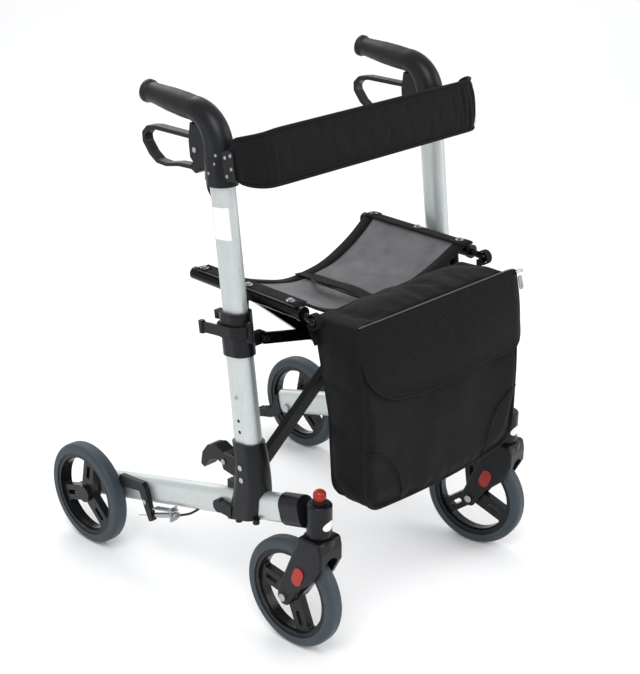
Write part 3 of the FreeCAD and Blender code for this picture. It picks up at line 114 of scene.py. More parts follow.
def platePiece(name, centre, across, upward, size, corner, material, hole=None):
    # a flat plate with rounded corners: size is its width, height and thickness
    # hole is its radius and its distance above the centre
    across, upward = Vector(across).normalized(), Vector(upward).normalized()
    out = across.cross(upward)
    wide, tall, thick = size
    outline = []
    for cx, cz, start in ((1, 1, 0), (-1, 1, 90), (-1, -1, 180), (1, -1, 270)):
        for k in range(7):
            a = math.radians(start + 15 * k)
            outline.append((cx * (wide / 2 - corner) + corner * math.cos(a),
                            cz * (tall / 2 - corner) + corner * math.sin(a)))
    if hole:
        radius, above = hole
        turns = [math.atan2(v, u) for u, v in outline]
        middle = [(radius * math.cos(a), above + radius * math.sin(a)) for a in turns]
    else:
        middle = [(u * 0.5, v * 0.5) for u, v in outline]
    rows = []
    for ring, depth in ((middle, -0.5), (outline, -0.5), (outline, 0.5), (middle, 0.5)):
        rows.append([Vector(centre) + across * u + upward * v + out * (thick * depth) for u, v in ring])
    plate = gridPiece(name, rows, material, closeRows=bool(hole), closeCols=True, caps=not hole, flip=True)
    plate.data.polygons.foreach_set("use_smooth", [False] * len(plate.data.polygons))
    edge = plate.modifiers.new("roundEdges", "BEVEL")
    edge.width = thick * 0.28
    edge.segments = 3
    edge.limit_method = "ANGLE"
    return plate


def screwHead(name, centre, out, radius, material, height=0.0016):
    # a domed head with a cross recess pressed into it
    out = Vector(out).normalized()
    side = out.orthogonal().normalized()
    up = out.cross(side)
    rows = []
    for f, h in ((0.0, 0.80), (0.16, 0.80), (0.30, 1.0), (0.62, 0.92), (0.9, 0.55), (1.0, 0.0)):
        ring = []
        for k in range(24):
            a = 2 * math.pi * k / 24
            dip = 0.35 * max(0.0, math.cos(2 * a)) ** 6 if 0.1 < f < 0.7 else 0.0
            ring.append(Vector(centre) + (side * math.cos(a) + up * math.sin(a)) * (radius * max(f, 0.02)) +
                        out * (height * (h - dip)))
        rows.append(ring)
    return gridPiece(name, rows, material, closeCols=True, caps=True)


def toMesh(obj):
    # a curve's own tube as a mesh
    if obj.type == "MESH":
        return obj
    view = bpy.context.evaluated_depsgraph_get()
    mesh = bpy.data.meshes.new_from_object(obj.evaluated_get(view))
    name = obj.name
    curve = obj.data
    bpy.data.objects.remove(obj)
    bpy.data.curves.remove(curve)
    mesh.name = name
    return link(bpy.data.objects.new(name, mesh))


def softPiece(obj, body):
    # a piece that rides on a body, with a mesh of its own
    obj = toMesh(obj)
    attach(obj, body)
    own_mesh(obj)
    return obj


def strapPiece(name, path, across, width, thickness, material):
    # a flat woven strap along path, whose width lies along the vectors in across
    rows = []
    for point, side in zip(path, across):
        side = Vector(side).normalized() * width / 2
        rows.append([Vector(point) + side * k for k in (-1, -0.5, 0, 0.5, 1)])
    obj = sheetSolid(name, rows, thickness, material)
    edge = obj.modifiers.new("roundEdges", "BEVEL")
    edge.width = thickness * 0.3
    edge.segments = 2
    return obj


def stitchRow(name, points, normal, material, pitch=0.0042, length=0.0028, radius=0.00038):
    # short threads laid end to end along a line
    verts, faces = [], []
    line = [Vector(p) for p in points]
    steps = [0.0]
    for a, b in zip(line, line[1:]):
        steps.append(steps[-1] + (b - a).length)
    place = 0.0
    while place + length < steps[-1]:
        ends = []
        for s in (place, place + length):
            k = max(i for i in range(len(steps) - 1) if steps[i] <= s)
            f = (s - steps[k]) / max(steps[k + 1] - steps[k], 1e-9)
            ends.append(line[k].lerp(line[k + 1], f))
        along = (ends[1] - ends[0]).normalized()
        up = normal(ends[0].lerp(ends[1], 0.5)) if callable(normal) else Vector(normal)
        up = (up - along * up.dot(along)).normalized()
        side = along.cross(up)
        base = len(verts)
        for f, k in ((0, 0.35), (0.25, 1), (0.75, 1), (1, 0.35)):
            centre = ends[0].lerp(ends[1], f)
            verts += [centre + side * radius * k, centre + up * radius * k * 1.3, centre - side * radius * k,
                      centre - up * radius * k * 0.5]
        for ring in range(3):
            for c in range(4):
                a = base + ring * 4 + c
                b = base + ring * 4 + (c + 1) % 4
                faces.append((a, b, b + 4, a + 4))
        faces.append((base, base + 3, base + 2, base + 1))
        faces.append((base + 12, base + 13, base + 14, base + 15))
        place += pitch
    return meshPiece(name, verts, faces, material)


# shader groups
def newGroup(name, inputs, outputs):
    tree = bpy.data.node_groups.new(name, "ShaderNodeTree")
    for socketName, kind, value in inputs:
        socket = tree.interface.new_socket(socketName, in_out="INPUT", socket_type=kind)
        socket.default_value = value
    for socketName, kind in outputs:
        tree.interface.new_socket(socketName, in_out="OUTPUT", socket_type=kind)
    return tree, tree.nodes.new("NodeGroupInput"), tree.nodes.new("NodeGroupOutput")


def maths(tree, operation, a, b=None):
    node = tree.nodes.new("ShaderNodeMath")
    node.operation = operation
    for socket, value in zip(node.inputs, (a, b)):
        if value is None:
            continue
        if isinstance(value, (int, float)):
            socket.default_value = value
        else:
            tree.links.new(value, socket)
    return node.outputs[0]


def makeGrainGroup():
    # fine moulded or blasted grain with a slower drift of tone
    tree, source, sink = newGroup("grain", [("Scale", "NodeSocketFloat", 900.0), ("Drift", "NodeSocketFloat", 14.0)],
                                  [("Fine", "NodeSocketFloat"), ("Slow", "NodeSocketFloat")])
    place = tree.nodes.new("ShaderNodeTexCoord")
    for socket, output, detail in (("Scale", "Fine", 2), ("Drift", "Slow", 3)):
        noise = tree.nodes.new("ShaderNodeTexNoise")
        noise.inputs["Detail"].default_value = detail
        tree.links.new(place.outputs["Object"], noise.inputs["Vector"])
        tree.links.new(source.outputs[socket], noise.inputs["Scale"])
        tree.links.new(noise.outputs["Fac"], sink.inputs[output])
    return tree


def makeBrushedGroup():
    # long fine lines along Y and Z, as drawn and anodised tube has
    tree, source, sink = newGroup("brushed", [("Scale", "NodeSocketFloat", 700.0)],
                                  [("Lines", "NodeSocketFloat")])
    place = tree.nodes.new("ShaderNodeTexCoord")
    stretch = tree.nodes.new("ShaderNodeMapping")
    stretch.inputs["Scale"].default_value = (1.0, 1.0, 0.03)
    stretch.inputs["Rotation"].default_value = (math.radians(-7), 0, 0)
    noise = tree.nodes.new("ShaderNodeTexNoise")
    noise.inputs["Detail"].default_value = 3
    tree.links.new(place.outputs["Object"], stretch.inputs["Vector"])
    tree.links.new(stretch.outputs["Vector"], noise.inputs["Vector"])
    tree.links.new(source.outputs["Scale"], noise.inputs["Scale"])
    tree.links.new(noise.outputs["Fac"], sink.inputs["Lines"])
    return tree


def makeWeaveGroup():
    # crossing threads from two sine waves: Threads per metre; Height is the thread relief, Hole the gaps
    number = "NodeSocketFloat"
    tree, source, sink = newGroup("weave", [("Threads", number, 1200.0), ("Skew", number, 0.5)],
                                  [("Height", number), ("Hole", number), ("Tone", number)])
    place = tree.nodes.new("ShaderNodeTexCoord")
    split = tree.nodes.new("ShaderNodeSeparateXYZ")
    tree.links.new(place.outputs["Object"], split.inputs[0])
    x, y, z = split.outputs
    across = maths(tree, "ADD", x, y)
    upward = maths(tree, "ADD", z, maths(tree, "MULTIPLY", maths(tree, "SUBTRACT", x, y), source.outputs["Skew"]))
    turns = maths(tree, "MULTIPLY", source.outputs["Threads"], math.pi)
    waveA = maths(tree, "SINE", maths(tree, "MULTIPLY", across, turns))
    waveB = maths(tree, "SINE", maths(tree, "MULTIPLY", upward, turns))
    both = maths(tree, "MULTIPLY", waveA, waveB)
    tree.links.new(maths(tree, "MULTIPLY_ADD", both, 0.5), sink.inputs["Height"])
    squareA = maths(tree, "MULTIPLY", waveA, waveA)
    squareB = maths(tree, "MULTIPLY", waveB, waveB)
    tree.links.new(maths(tree, "MULTIPLY", squareA, squareB), sink.inputs["Hole"])
    noise = tree.nodes.new("ShaderNodeTexNoise")
    noise.inputs["Scale"].default_value = 30
    noise.inputs["Detail"].default_value = 5
    tree.links.new(place.outputs["Object"], noise.inputs["Vector"])
    tree.links.new(noise.outputs["Fac"], sink.inputs["Tone"])
    return tree


def makeCellGroup():
    # small raised cells in staggered rows, from the piece's own UV map in metres
    tree, source, sink = newGroup("cells", [("Pitch", "NodeSocketFloat", 200.0)], [("Cell", "NodeSocketFloat")])
    place = tree.nodes.new("ShaderNodeTexCoord")
    turn = tree.nodes.new("ShaderNodeMapping")
    turn.inputs["Rotation"].default_value = (0, 0, math.radians(45))
    dots = tree.nodes.new("ShaderNodeTexVoronoi")
    dots.inputs["Randomness"].default_value = 0
    dots.feature = "F1"
    tree.links.new(place.outputs["UV"], turn.inputs["Vector"])
    tree.links.new(turn.outputs["Vector"], dots.inputs["Vector"])
    tree.links.new(source.outputs["Pitch"], dots.inputs["Scale"])
    tree.links.new(dots.outputs["Distance"], sink.inputs["Cell"])
    return tree


grainGroup = makeGrainGroup()
brushedGroup = makeBrushedGroup()
weaveGroup = makeWeaveGroup()
cellGroup = makeCellGroup()


# materials
def newMaterial(name, colour, roughness, metallic=0.0, **more):
    material = bpy.data.materials.new(name)
    material.use_nodes = True
    shader = material.node_tree.nodes["Principled BSDF"]
    shader.inputs["Base Color"].default_value = (*colour, 1)
    shader.inputs["Roughness"].default_value = roughness
    shader.inputs["Metallic"].default_value = metallic
    for socket, value in more.items():
        shader.inputs[socket.replace("_", " ")].default_value = value
    return material, material.node_tree, shader


def addGroup(tree, group, **values):
    node = tree.nodes.new("ShaderNodeGroup")
    node.node_tree = group
    for socket, value in values.items():
        node.inputs[socket].default_value = value
    return node


def ramp(tree, source, low, high, lowAt=0.3, highAt=0.7):
    node = tree.nodes.new("ShaderNodeMapRange")
    tree.links.new(source, node.inputs["Value"])
    node.inputs["From Min"].default_value = lowAt
    node.inputs["From Max"].default_value = highAt
    node.inputs["To Min"].default_value = low
    node.inputs["To Max"].default_value = high
    return node.outputs[0]


def tint(tree, source, dark, light, lowAt=0.3, highAt=0.7):
    mix = tree.nodes.new("ShaderNodeMix")
    mix.data_type = "RGBA"
    tree.links.new(ramp(tree, source, 0, 1, lowAt, highAt), mix.inputs["Factor"])
    mix.inputs["A"].default_value = (*dark, 1)
    mix.inputs["B"].default_value = (*light, 1)
    return mix.outputs["Result"]


def bump(tree, shader, height, strength, distance):
    node = tree.nodes.new("ShaderNodeBump")
    node.inputs["Strength"].default_value = strength
    node.inputs["Distance"].default_value = distance
    tree.links.new(height, node.inputs["Height"])
    tree.links.new(node.outputs["Normal"], shader.inputs["Normal"])


def grainyMaterial(name, dark, light, rough, grain=900, strength=0.25, distance=0.0003, **more):
    material, tree, shader = newMaterial(name, light, rough[0], **more)
    group = addGroup(tree, grainGroup, Scale=grain, Drift=16.0)
    tree.links.new(tint(tree, group.outputs["Slow"], dark, light), shader.inputs["Base Color"])
    tree.links.new(ramp(tree, group.outputs["Slow"], *rough), shader.inputs["Roughness"])
    bump(tree, shader, group.outputs["Fine"], strength, distance)
    return material


def silverMaterial():
    material, tree, shader = newMaterial("silverTube", (0.56, 0.59, 0.58), 0.42, metallic=0.75)
    lines = addGroup(tree, brushedGroup, Scale=900.0)
    grain = addGroup(tree, grainGroup, Scale=1500.0, Drift=9.0)
    tree.links.new(tint(tree, lines.outputs["Lines"], (0.52, 0.555, 0.55), (0.62, 0.655, 0.645)),
                   shader.inputs["Base Color"])
    tree.links.new(ramp(tree, grain.outputs["Slow"], 0.38, 0.50), shader.inputs["Roughness"])
    bump(tree, shader, lines.outputs["Lines"], 0.08, 0.0001)
    return material


def fabricMaterial(name, dark, light, threads, strength=0.5, distance=0.0004, sheen=0.02):
    material, tree, shader = newMaterial(name, light, 0.82)
    shader.inputs["Sheen Weight"].default_value = sheen
    shader.inputs["Sheen Roughness"].default_value = 0.45
    shader.inputs["Specular IOR Level"].default_value = 0.16
    weave = addGroup(tree, weaveGroup, Threads=threads, Skew=0.5)
    tree.links.new(tint(tree, weave.outputs["Tone"], dark, light), shader.inputs["Base Color"])
    tree.links.new(ramp(tree, weave.outputs["Tone"], 0.74, 0.9), shader.inputs["Roughness"])
    bump(tree, shader, weave.outputs["Height"], strength, distance)
    return material


def meshMaterial():
    material, tree, shader = newMaterial("openMesh", (0.2, 0.2, 0.21), 0.55)
    shader.inputs["Sheen Weight"].default_value = 0.10
    shader.inputs["Specular IOR Level"].default_value = 0.35
    weave = addGroup(tree, weaveGroup, Threads=520.0, Skew=0.0)
    tree.links.new(tint(tree, weave.outputs["Tone"], (0.060, 0.060, 0.064), (0.105, 0.105, 0.110)),
                   shader.inputs["Base Color"])
    tree.links.new(ramp(tree, weave.outputs["Hole"], 1.0, 0.86, 0.42, 0.62), shader.inputs["Alpha"])
    bump(tree, shader, weave.outputs["Height"], 0.6, 0.0005)
    return material


def cellMaterial():
    material, tree, shader = newMaterial("cellCloth", (0.02, 0.02, 0.022), 0.62)
    shader.inputs["Specular IOR Level"].default_value = 0.10
    cells = addGroup(tree, cellGroup, Pitch=230.0)
    # painted shade: the raised cell centres are coloured lighter and the grooves between the cells darker
    tree.links.new(tint(tree, cells.outputs["Cell"], (0.0068, 0.0068, 0.0076), (0.0026, 0.0026, 0.0030), 0.25, 0.55),
                   shader.inputs["Base Color"])
    tree.links.new(ramp(tree, cells.outputs["Cell"], 0.55, 0.85), shader.inputs["Roughness"])
    bump(tree, shader, ramp(tree, cells.outputs["Cell"], 1.0, 0.0, 0.2, 0.6), 0.8, 0.0012)
    return material


silver = silverMaterial()
blackPlastic = grainyMaterial("blackPlastic", (0.0038, 0.0044, 0.0054), (0.0070, 0.0080, 0.0096),
                              (0.28, 0.38), 1300, 0.2, Specular_IOR_Level=0.24)
rimPlastic = grainyMaterial("rimPlastic", (0.0045, 0.0048, 0.0055), (0.0075, 0.0080, 0.0090),
                            (0.24, 0.34), 1100, 0.12, Specular_IOR_Level=0.26)
blackTube = grainyMaterial("blackTube", (0.0015, 0.0015, 0.0018), (0.0028, 0.0028, 0.0034),
                           (0.14, 0.22), 500, 0.08, Specular_IOR_Level=0.16)
tyreRubber = grainyMaterial("tyreRubber", (0.032, 0.044, 0.053), (0.046, 0.061, 0.072),
                            (0.46, 0.60), 1600, 0.3, Specular_IOR_Level=0.30)
gripRubber = grainyMaterial("gripRubber", (0.0050, 0.0053, 0.0060), (0.0085, 0.0090, 0.0100),
                            (0.42, 0.56), 2200, 0.5, Specular_IOR_Level=0.30)
cableSleeve = grainyMaterial("cableSleeve", (0.006, 0.006, 0.007), (0.010, 0.010, 0.011),
                             (0.35, 0.45), 1500, 0.1, Specular_IOR_Level=0.30)
redPlastic = grainyMaterial("redPlastic", (0.27, 0.014, 0.010), (0.36, 0.022, 0.016),
                            (0.24, 0.34), 700, 0.1, Specular_IOR_Level=0.35)
zinc = grainyMaterial("zinc", (0.30, 0.31, 0.32), (0.46, 0.47, 0.48), (0.16, 0.28), 1800, 0.1, metallic=1.0)
whiteFilm = grainyMaterial("whiteFilm", (0.80, 0.81, 0.81), (0.86, 0.86, 0.86), (0.4, 0.5), 900, 0.05)
pipingGrey = grainyMaterial("pipingGrey", (0.035, 0.035, 0.037), (0.060, 0.060, 0.063), (0.45, 0.6), 1500, 0.2)
thread = grainyMaterial("thread", (0.010, 0.010, 0.011), (0.022, 0.022, 0.024), (0.6, 0.7), 2000, 0.2,
                        Specular_IOR_Level=0.2)
nylon = fabricMaterial("nylon", (0.0026, 0.0026, 0.0033), (0.0062, 0.0062, 0.0074), 900)
webbing = fabricMaterial("webbing", (0.0045, 0.0045, 0.0052), (0.0085, 0.0085, 0.0096), 420, 0.8, 0.0007)
bindingTape = fabricMaterial("bindingTape", (0.0035, 0.0035, 0.0042), (0.0065, 0.0065, 0.0075), 700, 0.6)
openMesh = meshMaterial()
cellCloth = cellMaterial()
print("materials made")

# CAD nodes keep their meshes and take these finishes
nodeFinish = {
    "bottom_tube": silver, "outer_post": silver, "inner_post": silver, "base_bracket": blackPlastic,
    "lock_lever": blackPlastic, "height_collar": blackPlastic, "clamp_lever": blackPlastic,
    "caster_head": blackPlastic, "head_button": redPlastic, "caster_fork": blackPlastic, "caster_axle": zinc,
    "caster_rim": rimPlastic, "caster_tyre": tyreRubber, "fork_reflectors": redPlastic, "rear_rim": rimPlastic,
    "rear_tyre": tyreRubber, "curb_pedal": blackPlastic, "brake_arm": blackPlastic, "brake_adjuster": zinc,
    "brake_cable": cableSleeve, "handle_housing": blackPlastic, "grip": gripRubber, "brake_lever": blackPlastic,
    "handle_screws": zinc, "link_bar": blackTube, "cross_frame": blackTube, "cross_pivot_bolt": zinc,
    "seat_screws": zinc, "frame_fasteners": zinc,
}
for nodeName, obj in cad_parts.items():
    finish = nodeFinish.get(nodeName.replace("_left", "").replace("_right", ""))
    if finish is None:
        continue
    obj.data.materials.clear()
    obj.data.materials.append(finish)
print("CAD nodes painted")

# seat sling: mesh panel, bound edges, centre strap with a pull loop
seatShape = {"halfRail": 0.201, "halfOuter": 0.222, "top": 0.6046, "sag": 0.064, "rear": 0.013, "front": -0.227,
             "band": 0.022, "strapX": 0.012, "strapWidth": 0.030, "strapStitch": 0.0125, "webThick": 0.0018,
             "edgeSlack": 0.003, "drawIn": 0.016, "loopFrom": -0.035, "loopLong": 0.165, "loopBow": 0.046,
             "loopWidth": 0.026, "cut": (0.464, 0.240), "cutArea": 0.108}


def seatHeight(x, y):
    # the CAD sling's arc, a little slacker at the free edges and tighter over the rails
    shape = seatShape
    reach = min(abs(x) / shape["halfRail"], 1.0)
    depth = shape["sag"] * (1 - reach ** 2)
    edge = math.cos((y - shape["front"]) / (shape["rear"] - shape["front"]) * 2 * math.pi)
    ripple = 0.0012 * math.sin(x * 61 + y * 23) * (1 - reach) + 0.0009 * math.sin(x * 24 - y * 58) * (1 - reach)
    return shape["top"] - depth - shape["edgeSlack"] * edge * (1 - reach) + ripple


def seatEdgeY(x, y):
    # the front and rear edges draw in towards the middle, where the cloth hangs lowest
    shape = seatShape
    middle = (shape["front"] + shape["rear"]) / 2
    pull = shape["drawIn"] * (1 - min(abs(x) / shape["halfRail"], 1.0) ** 2)
    half = (shape["rear"] - shape["front"]) / 2
    return middle + (y - middle) * (1 - pull / half)


def buildSeat():
    shape = seatShape
    columns = 72
    rowsCount = 34
    rows = []
    for r in range(rowsCount + 1):
        y = shape["front"] + (shape["rear"] - shape["front"]) * r / rowsCount
        row = []
        for c in range(columns + 1):
            x = -shape["halfOuter"] + 2 * shape["halfOuter"] * c / columns
            row.append(Vector((x, seatEdgeY(x, y), seatHeight(x, y))))
        rows.append(row)
    sling = sheetSolid("seatMesh", rows, 0.0012, openMesh)
    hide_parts("seat_sling")
    pieces = []
    for name, row in (("seatFrontBinding", 0), ("seatRearBinding", rowsCount)):
        inward = 1 if row == 0 else -1
        bandRows = []
        for wide, lift in ((0, 0.0016), (0.5, 0.0021), (1, 0.0016)):
            bandRows.append([rows[row][c] + Vector((0, inward * shape["band"] * wide, lift))
                             for c in range(columns + 1)])
        band = sheetSolid(name, bandRows, 0.0018, bindingTape)
        pieces.append(band)
        edge = cordPiece(name + "Edge", [rows[row][c] for c in range(0, columns + 1, 3)], 0.0022, bindingTape)
        pieces.append(edge)
        for k, offset in enumerate((0.004, 0.018)):
            line = [rows[row][c] + Vector((0, inward * offset, 0.0031)) for c in range(columns + 1)]
            pieces.append(stitchRow(name + "Stitch%d" % k, line, (0, 0, 1), thread))
    for label, sign in sides:
        bandRows = []
        for across in (0.194, 0.203, 0.212, 0.2185, 0.2225):
            fall = 0.0 if across < 0.22 else 0.0035
            bandRows.append([Vector((sign * across, seatEdgeY(across, rows[r][0].y), shape["top"] + 0.0012 - fall))
                             for r in range(rowsCount + 1)])
        pieces.append(sheetSolid("railBand_" + label, bandRows, 0.0014, bindingTape))
        line = [Vector((sign * 0.197, y, shape["top"] + 0.0022))
                for y in (shape["front"] + 0.004, shape["rear"] - 0.004)]
        pieces.append(stitchRow("railStitch_" + label, line, (0, 0, 1), thread))
    path, across = [], []
    for r in range(rowsCount + 1):
        point = rows[r][0]
        x = shape["strapX"]
        path.append(Vector((x, seatEdgeY(x, point.y), seatHeight(x, point.y) + 0.0026)))
        across.append((1, 0, -0.1))
    pieces.append(strapPiece("seatStrap", path, across, shape["strapWidth"], shape["webThick"], webbing))
    for sideOffset in (-shape["strapStitch"], shape["strapStitch"]):
        line = [p + Vector((sideOffset, 0, 0.0013)) for p in path]
        pieces.append(stitchRow("seatStrapStitch%d" % (sideOffset > 0), line, (0, 0, 1), thread))
    loopPath, loopAcross = [], []
    steps = 26
    for k in range(steps + 1):
        f = k / steps
        bow = math.sin(f * math.pi)
        y = shape["loopFrom"] - shape["loopLong"] * f
        x = shape["strapX"] - 0.004 - shape["loopBow"] * bow
        loopPath.append(Vector((x, y, seatHeight(x, y) + 0.0045 + 0.010 * bow ** 1.5)))
        loopAcross.append((1, 0.9 * math.cos(f * math.pi), -0.55 * bow))
    pieces.append(strapPiece("seatPullLoop", loopPath, loopAcross, shape["loopWidth"], shape["webThick"], webbing))
    return sling, pieces


postX = 0.254  # how far each post stands from the middle
sling, seatSoft = buildSeat()
sling = softPiece(sling, "bag_body")
for piece in seatSoft:
    softPiece(piece, "bag_body")
print("seat made")


# shared cloth inflation for padded pieces
def puffUp(obj, pressure, cap, pinned, frames=20, shrink=-0.02, stiffness=12):
    # swell the closed mesh under pressure, keep each point within cap(point) of where it began, and apply
    start = [v.co.copy() for v in obj.data.vertices]
    pins = obj.vertex_groups.new(name="pins")
    for index, weight in pinned.items():
        pins.add([index], weight, "REPLACE")
    cloth = obj.modifiers.new("cloth", "CLOTH")
    settings = cloth.settings
    settings.quality = 6
    settings.mass = 0.25
    settings.tension_stiffness = stiffness
    settings.compression_stiffness = stiffness
    settings.shear_stiffness = stiffness / 2
    settings.bending_stiffness = 0.4
    settings.use_pressure = True
    settings.uniform_pressure_force = pressure
    settings.shrink_min = shrink
    settings.vertex_group_mass = "pins"
    settings.effector_weights.gravity = 0
    cloth.collision_settings.use_collision = False
    cloth.collision_settings.use_self_collision = False
    cloth.point_cache.frame_start = 1
    cloth.point_cache.frame_end = frames
    scene = bpy.context.scene
    for number in range(1, frames + 1):
        scene.frame_set(number)
    view = bpy.context.evaluated_depsgraph_get()
    moved = obj.evaluated_get(view).to_mesh()
    final = [v.co.copy() for v in moved.vertices]
    obj.evaluated_get(view).to_mesh_clear()
    obj.modifiers.remove(cloth)
    scene.frame_set(1)
    for vertex, before, after in zip(obj.data.vertices, start, final):
        step = after - before
        if step.length > cap(before):
            step = step.normalized() * cap(before)
        vertex.co = before + step
    obj.data.update()


# backrest: a padded band bowed round in front of the handles
# each end gives its lower edge, its upper edge and how far along it the band narrows
backShape = {"half": 0.272, "middleX": 0.004, "front": -0.1925, "rear": -0.136, "corner": 0.036, "low": 0.8000,
             "high": 0.8845, "rightEnd": (0.8065, 0.8640, 0.17), "leftEnd": (0.8075, 0.8620, 0.085),
             "thick": 0.0095, "lean": 0.158, "tip": 0.020, "wrinkle": 0.0030, "swell": 0.0035,
             "binding": 0.0030, "stitchLift": 0.0018}


def backPlan(s):
    # centre line of the band from the right end (s = 0) to the left end (s = 1), with its outward direction
    shape = backShape
    r = shape["corner"]
    leg = shape["rear"] - (shape["front"] + r)
    arc = math.pi / 2 * r
    straight = 2 * (shape["half"] - r)
    run = s * (2 * leg + 2 * arc + straight)
    mirror = 1
    if run > leg + arc + straight / 2:
        run = 2 * leg + 2 * arc + straight - run
        mirror = -1
    if run < leg:
        place, out = Vector((-shape["half"], shape["rear"] - run, 0)), Vector((-1, 0, 0))
    elif run < leg + arc:
        a = (run - leg) / r
        place = Vector((-shape["half"] + r - r * math.cos(a), shape["front"] + r - r * math.sin(a), 0))
        out = Vector((-math.cos(a), -math.sin(a), 0))
    else:
        place, out = Vector((-shape["half"] + r + run - leg - arc, shape["front"], 0)), Vector((0, -1, 0))
    return Vector((place.x * mirror + shape["middleX"], place.y, 0)), Vector((out.x * mirror, out.y, 0))


def backEdges(s):
    # lower and upper edge heights: full in the middle, narrowing with round shoulders at the ends
    shape = backShape
    d = min(s, 1 - s)
    endLow, endHigh, reach = shape["rightEnd"] if s < 0.5 else shape["leftEnd"]
    ease = 1 - (1 - min(d / reach, 1.0)) ** 2.2
    low = endLow + (shape["low"] - endLow) * ease
    high = endHigh + (shape["high"] - endHigh) * ease
    tip = min(d / 0.03, 1.0)
    roundOff = shape["tip"] * (1 - math.sqrt(max(0.0, 1 - (1 - tip) ** 2)))
    return low + roundOff, high - roundOff


def backPoint(s, t, outward):
    # t from 0 at the lower edge to 1 at the upper edge
    shape = backShape
    place, out = backPlan(s)
    low, high = backEdges(s)
    crown = shape["thick"] / 2 * (1 - abs(2 * t - 1) ** 3.2)
    nearBend = math.exp(-((s - 0.895) / 0.055) ** 2) + 0.6 * math.exp(-((s - 0.10) / 0.045) ** 2)
    ripple = math.sin(s * 300 + 1.6 * t) + 0.6 * math.sin(s * 171 - 2.4 * t)
    wrinkle = shape["wrinkle"] * nearBend * ripple * math.sin(math.pi * t) ** 0.4 if 0 < t < 1 else 0
    spot = place + out * (outward * crown + wrinkle)
    rise = (high - low) * t
    return Vector((spot.x, spot.y + (low - shape["low"] + rise) * shape["lean"], low + rise))


def buildBackrest():
    lengthSteps, heightSteps = 150, 16
    rings = []
    for k in range(lengthSteps + 1):
        s = k / lengthSteps
        ring = [backPoint(s, j / heightSteps, 1) for j in range(heightSteps + 1)]
        ring += [backPoint(s, j / heightSteps, -1) for j in range(heightSteps - 1, 0, -1)]
        rings.append(ring)
    pad = gridPiece("backrestPad", rings, nylon, closeCols=True, caps=True, flip=True)
    count = len(rings[0])
    pinned = {}
    for k in range(lengthSteps + 1):
        for j in range(count):
            onEdge = j in (0, heightSteps)
            nearEnd = k < 3 or k > lengthSteps - 3
            pinned[k * count + j] = 1.0 if onEdge or nearEnd else 0.0
    puffUp(pad, 1.2, lambda point: backShape["swell"], pinned, shrink=-0.006, stiffness=9)
    fine = pad.modifiers.new("smooth", "SUBSURF")
    fine.levels = 1
    fine.render_levels = 1
    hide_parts("backrest")
    pieces = []
    ends = []
    for t in (0, 1):
        ends.append([backPoint(k / lengthSteps, t, 1) for k in range(lengthSteps + 1)])
    around = ends[0][::2] + ends[1][::-2]
    pieces.append(cordPiece("backrestBinding", around, backShape["binding"], bindingTape, closed=True))
    for key, t, out in (("low", 0.10, 1), ("high", 0.90, 1), ("lowInside", 0.10, -1), ("highInside", 0.90, -1)):
        line = []
        for k in range(3, lengthSteps - 2):
            point = backPoint(k / lengthSteps, t, out)
            line.append(point + backPlan(k / lengthSteps)[1] * (backShape["stitchLift"] * out))
        normal = (0, -out, 0)
        pieces.append(stitchRow("backrestStitch_" + key, line,
                                lambda p, n=normal: Vector(n) + Vector((p.x * 2, 0, 0)), thread))
    return pad, pieces


hingeShape = {"x": 0.2752, "y": -0.1345, "z": 0.8275, "lean": 0.155, "size": (0.026, 0.048, 0.0024),
              "corner": 0.006, "screwRadius": 0.0033,
              "screws": ((-0.007, 0.017), (0.006, 0.0135), (-0.006, -0.004), (0.006, -0.016))}


def buildHingePlates():
    # a plate with four screws holds each end of the band to its handle
    shape = hingeShape
    up = Vector((0, shape["lean"], 1)).normalized()
    aft = Vector((0, 1, -shape["lean"])).normalized()
    pieces = []
    for side, sign in sides:
        lug = Vector((sign * shape["x"], shape["y"], shape["z"]))
        plate = platePiece("hingePlate_" + side, lug, aft, up, shape["size"], shape["corner"], blackPlastic)
        pieces.append((plate, side, "black_plastic"))
        face = Vector((sign * shape["size"][2] / 2, 0, 0))
        for k, (along, high) in enumerate(shape["screws"]):
            spot = lug + aft * along + up * high + face
            screw = screwHead("hingeScrew%d_%s" % (k, side), spot, (sign, 0, 0), shape["screwRadius"], zinc)
            pieces.append((screw, side, "zinc"))
    return pieces


backPad, backPieces = buildBackrest()
softPiece(backPad, "handle_right")
for piece in backPieces:
    softPiece(piece, "handle_right")
for piece, side, slotName in buildHingePlates():
    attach(piece, "handle_" + side)
print("backrest made")

# bag: a soft shell hung from the rail ends, with a flap, piping, corner patches and loops
bagShape = {"right": -0.201, "left": 0.190, "top": 0.590, "bottom": 0.272, "sideCorner": 0.042,
            "topCorner": 0.034, "grid": 0.0085, "frontTop": -0.342, "frontLow": -0.364, "backTop": -0.247,
            "backMiddle": -0.284, "backLow": -0.296, "sag": 0.010, "lip": 0.010, "creases": 9, "creaseDeep": 0.0026,
            "swell": 0.010, "swellUnderFlap": 0.0025, "seam": 0.0034, "rearSeam": 0.0030, "seamSunk": 0.0016,
            "patchWide": 0.085, "patchTall": 0.33, "patchSeam": 0.0015}


def bagFront(z):
    shape = bagShape
    f = min(max((shape["top"] - z) / 0.19, 0), 1)
    return shape["frontTop"] + (shape["frontLow"] - shape["frontTop"]) * f * (2 - f)


def bagBack(z):
    shape = bagShape
    f = (shape["top"] - z) / (shape["top"] - shape["bottom"])
    if f < 0.5:
        return shape["backTop"] + (shape["backMiddle"] - shape["backTop"]) * (f / 0.5)
    return shape["backMiddle"] + (shape["backLow"] - shape["backMiddle"]) * ((f - 0.5) / 0.5)


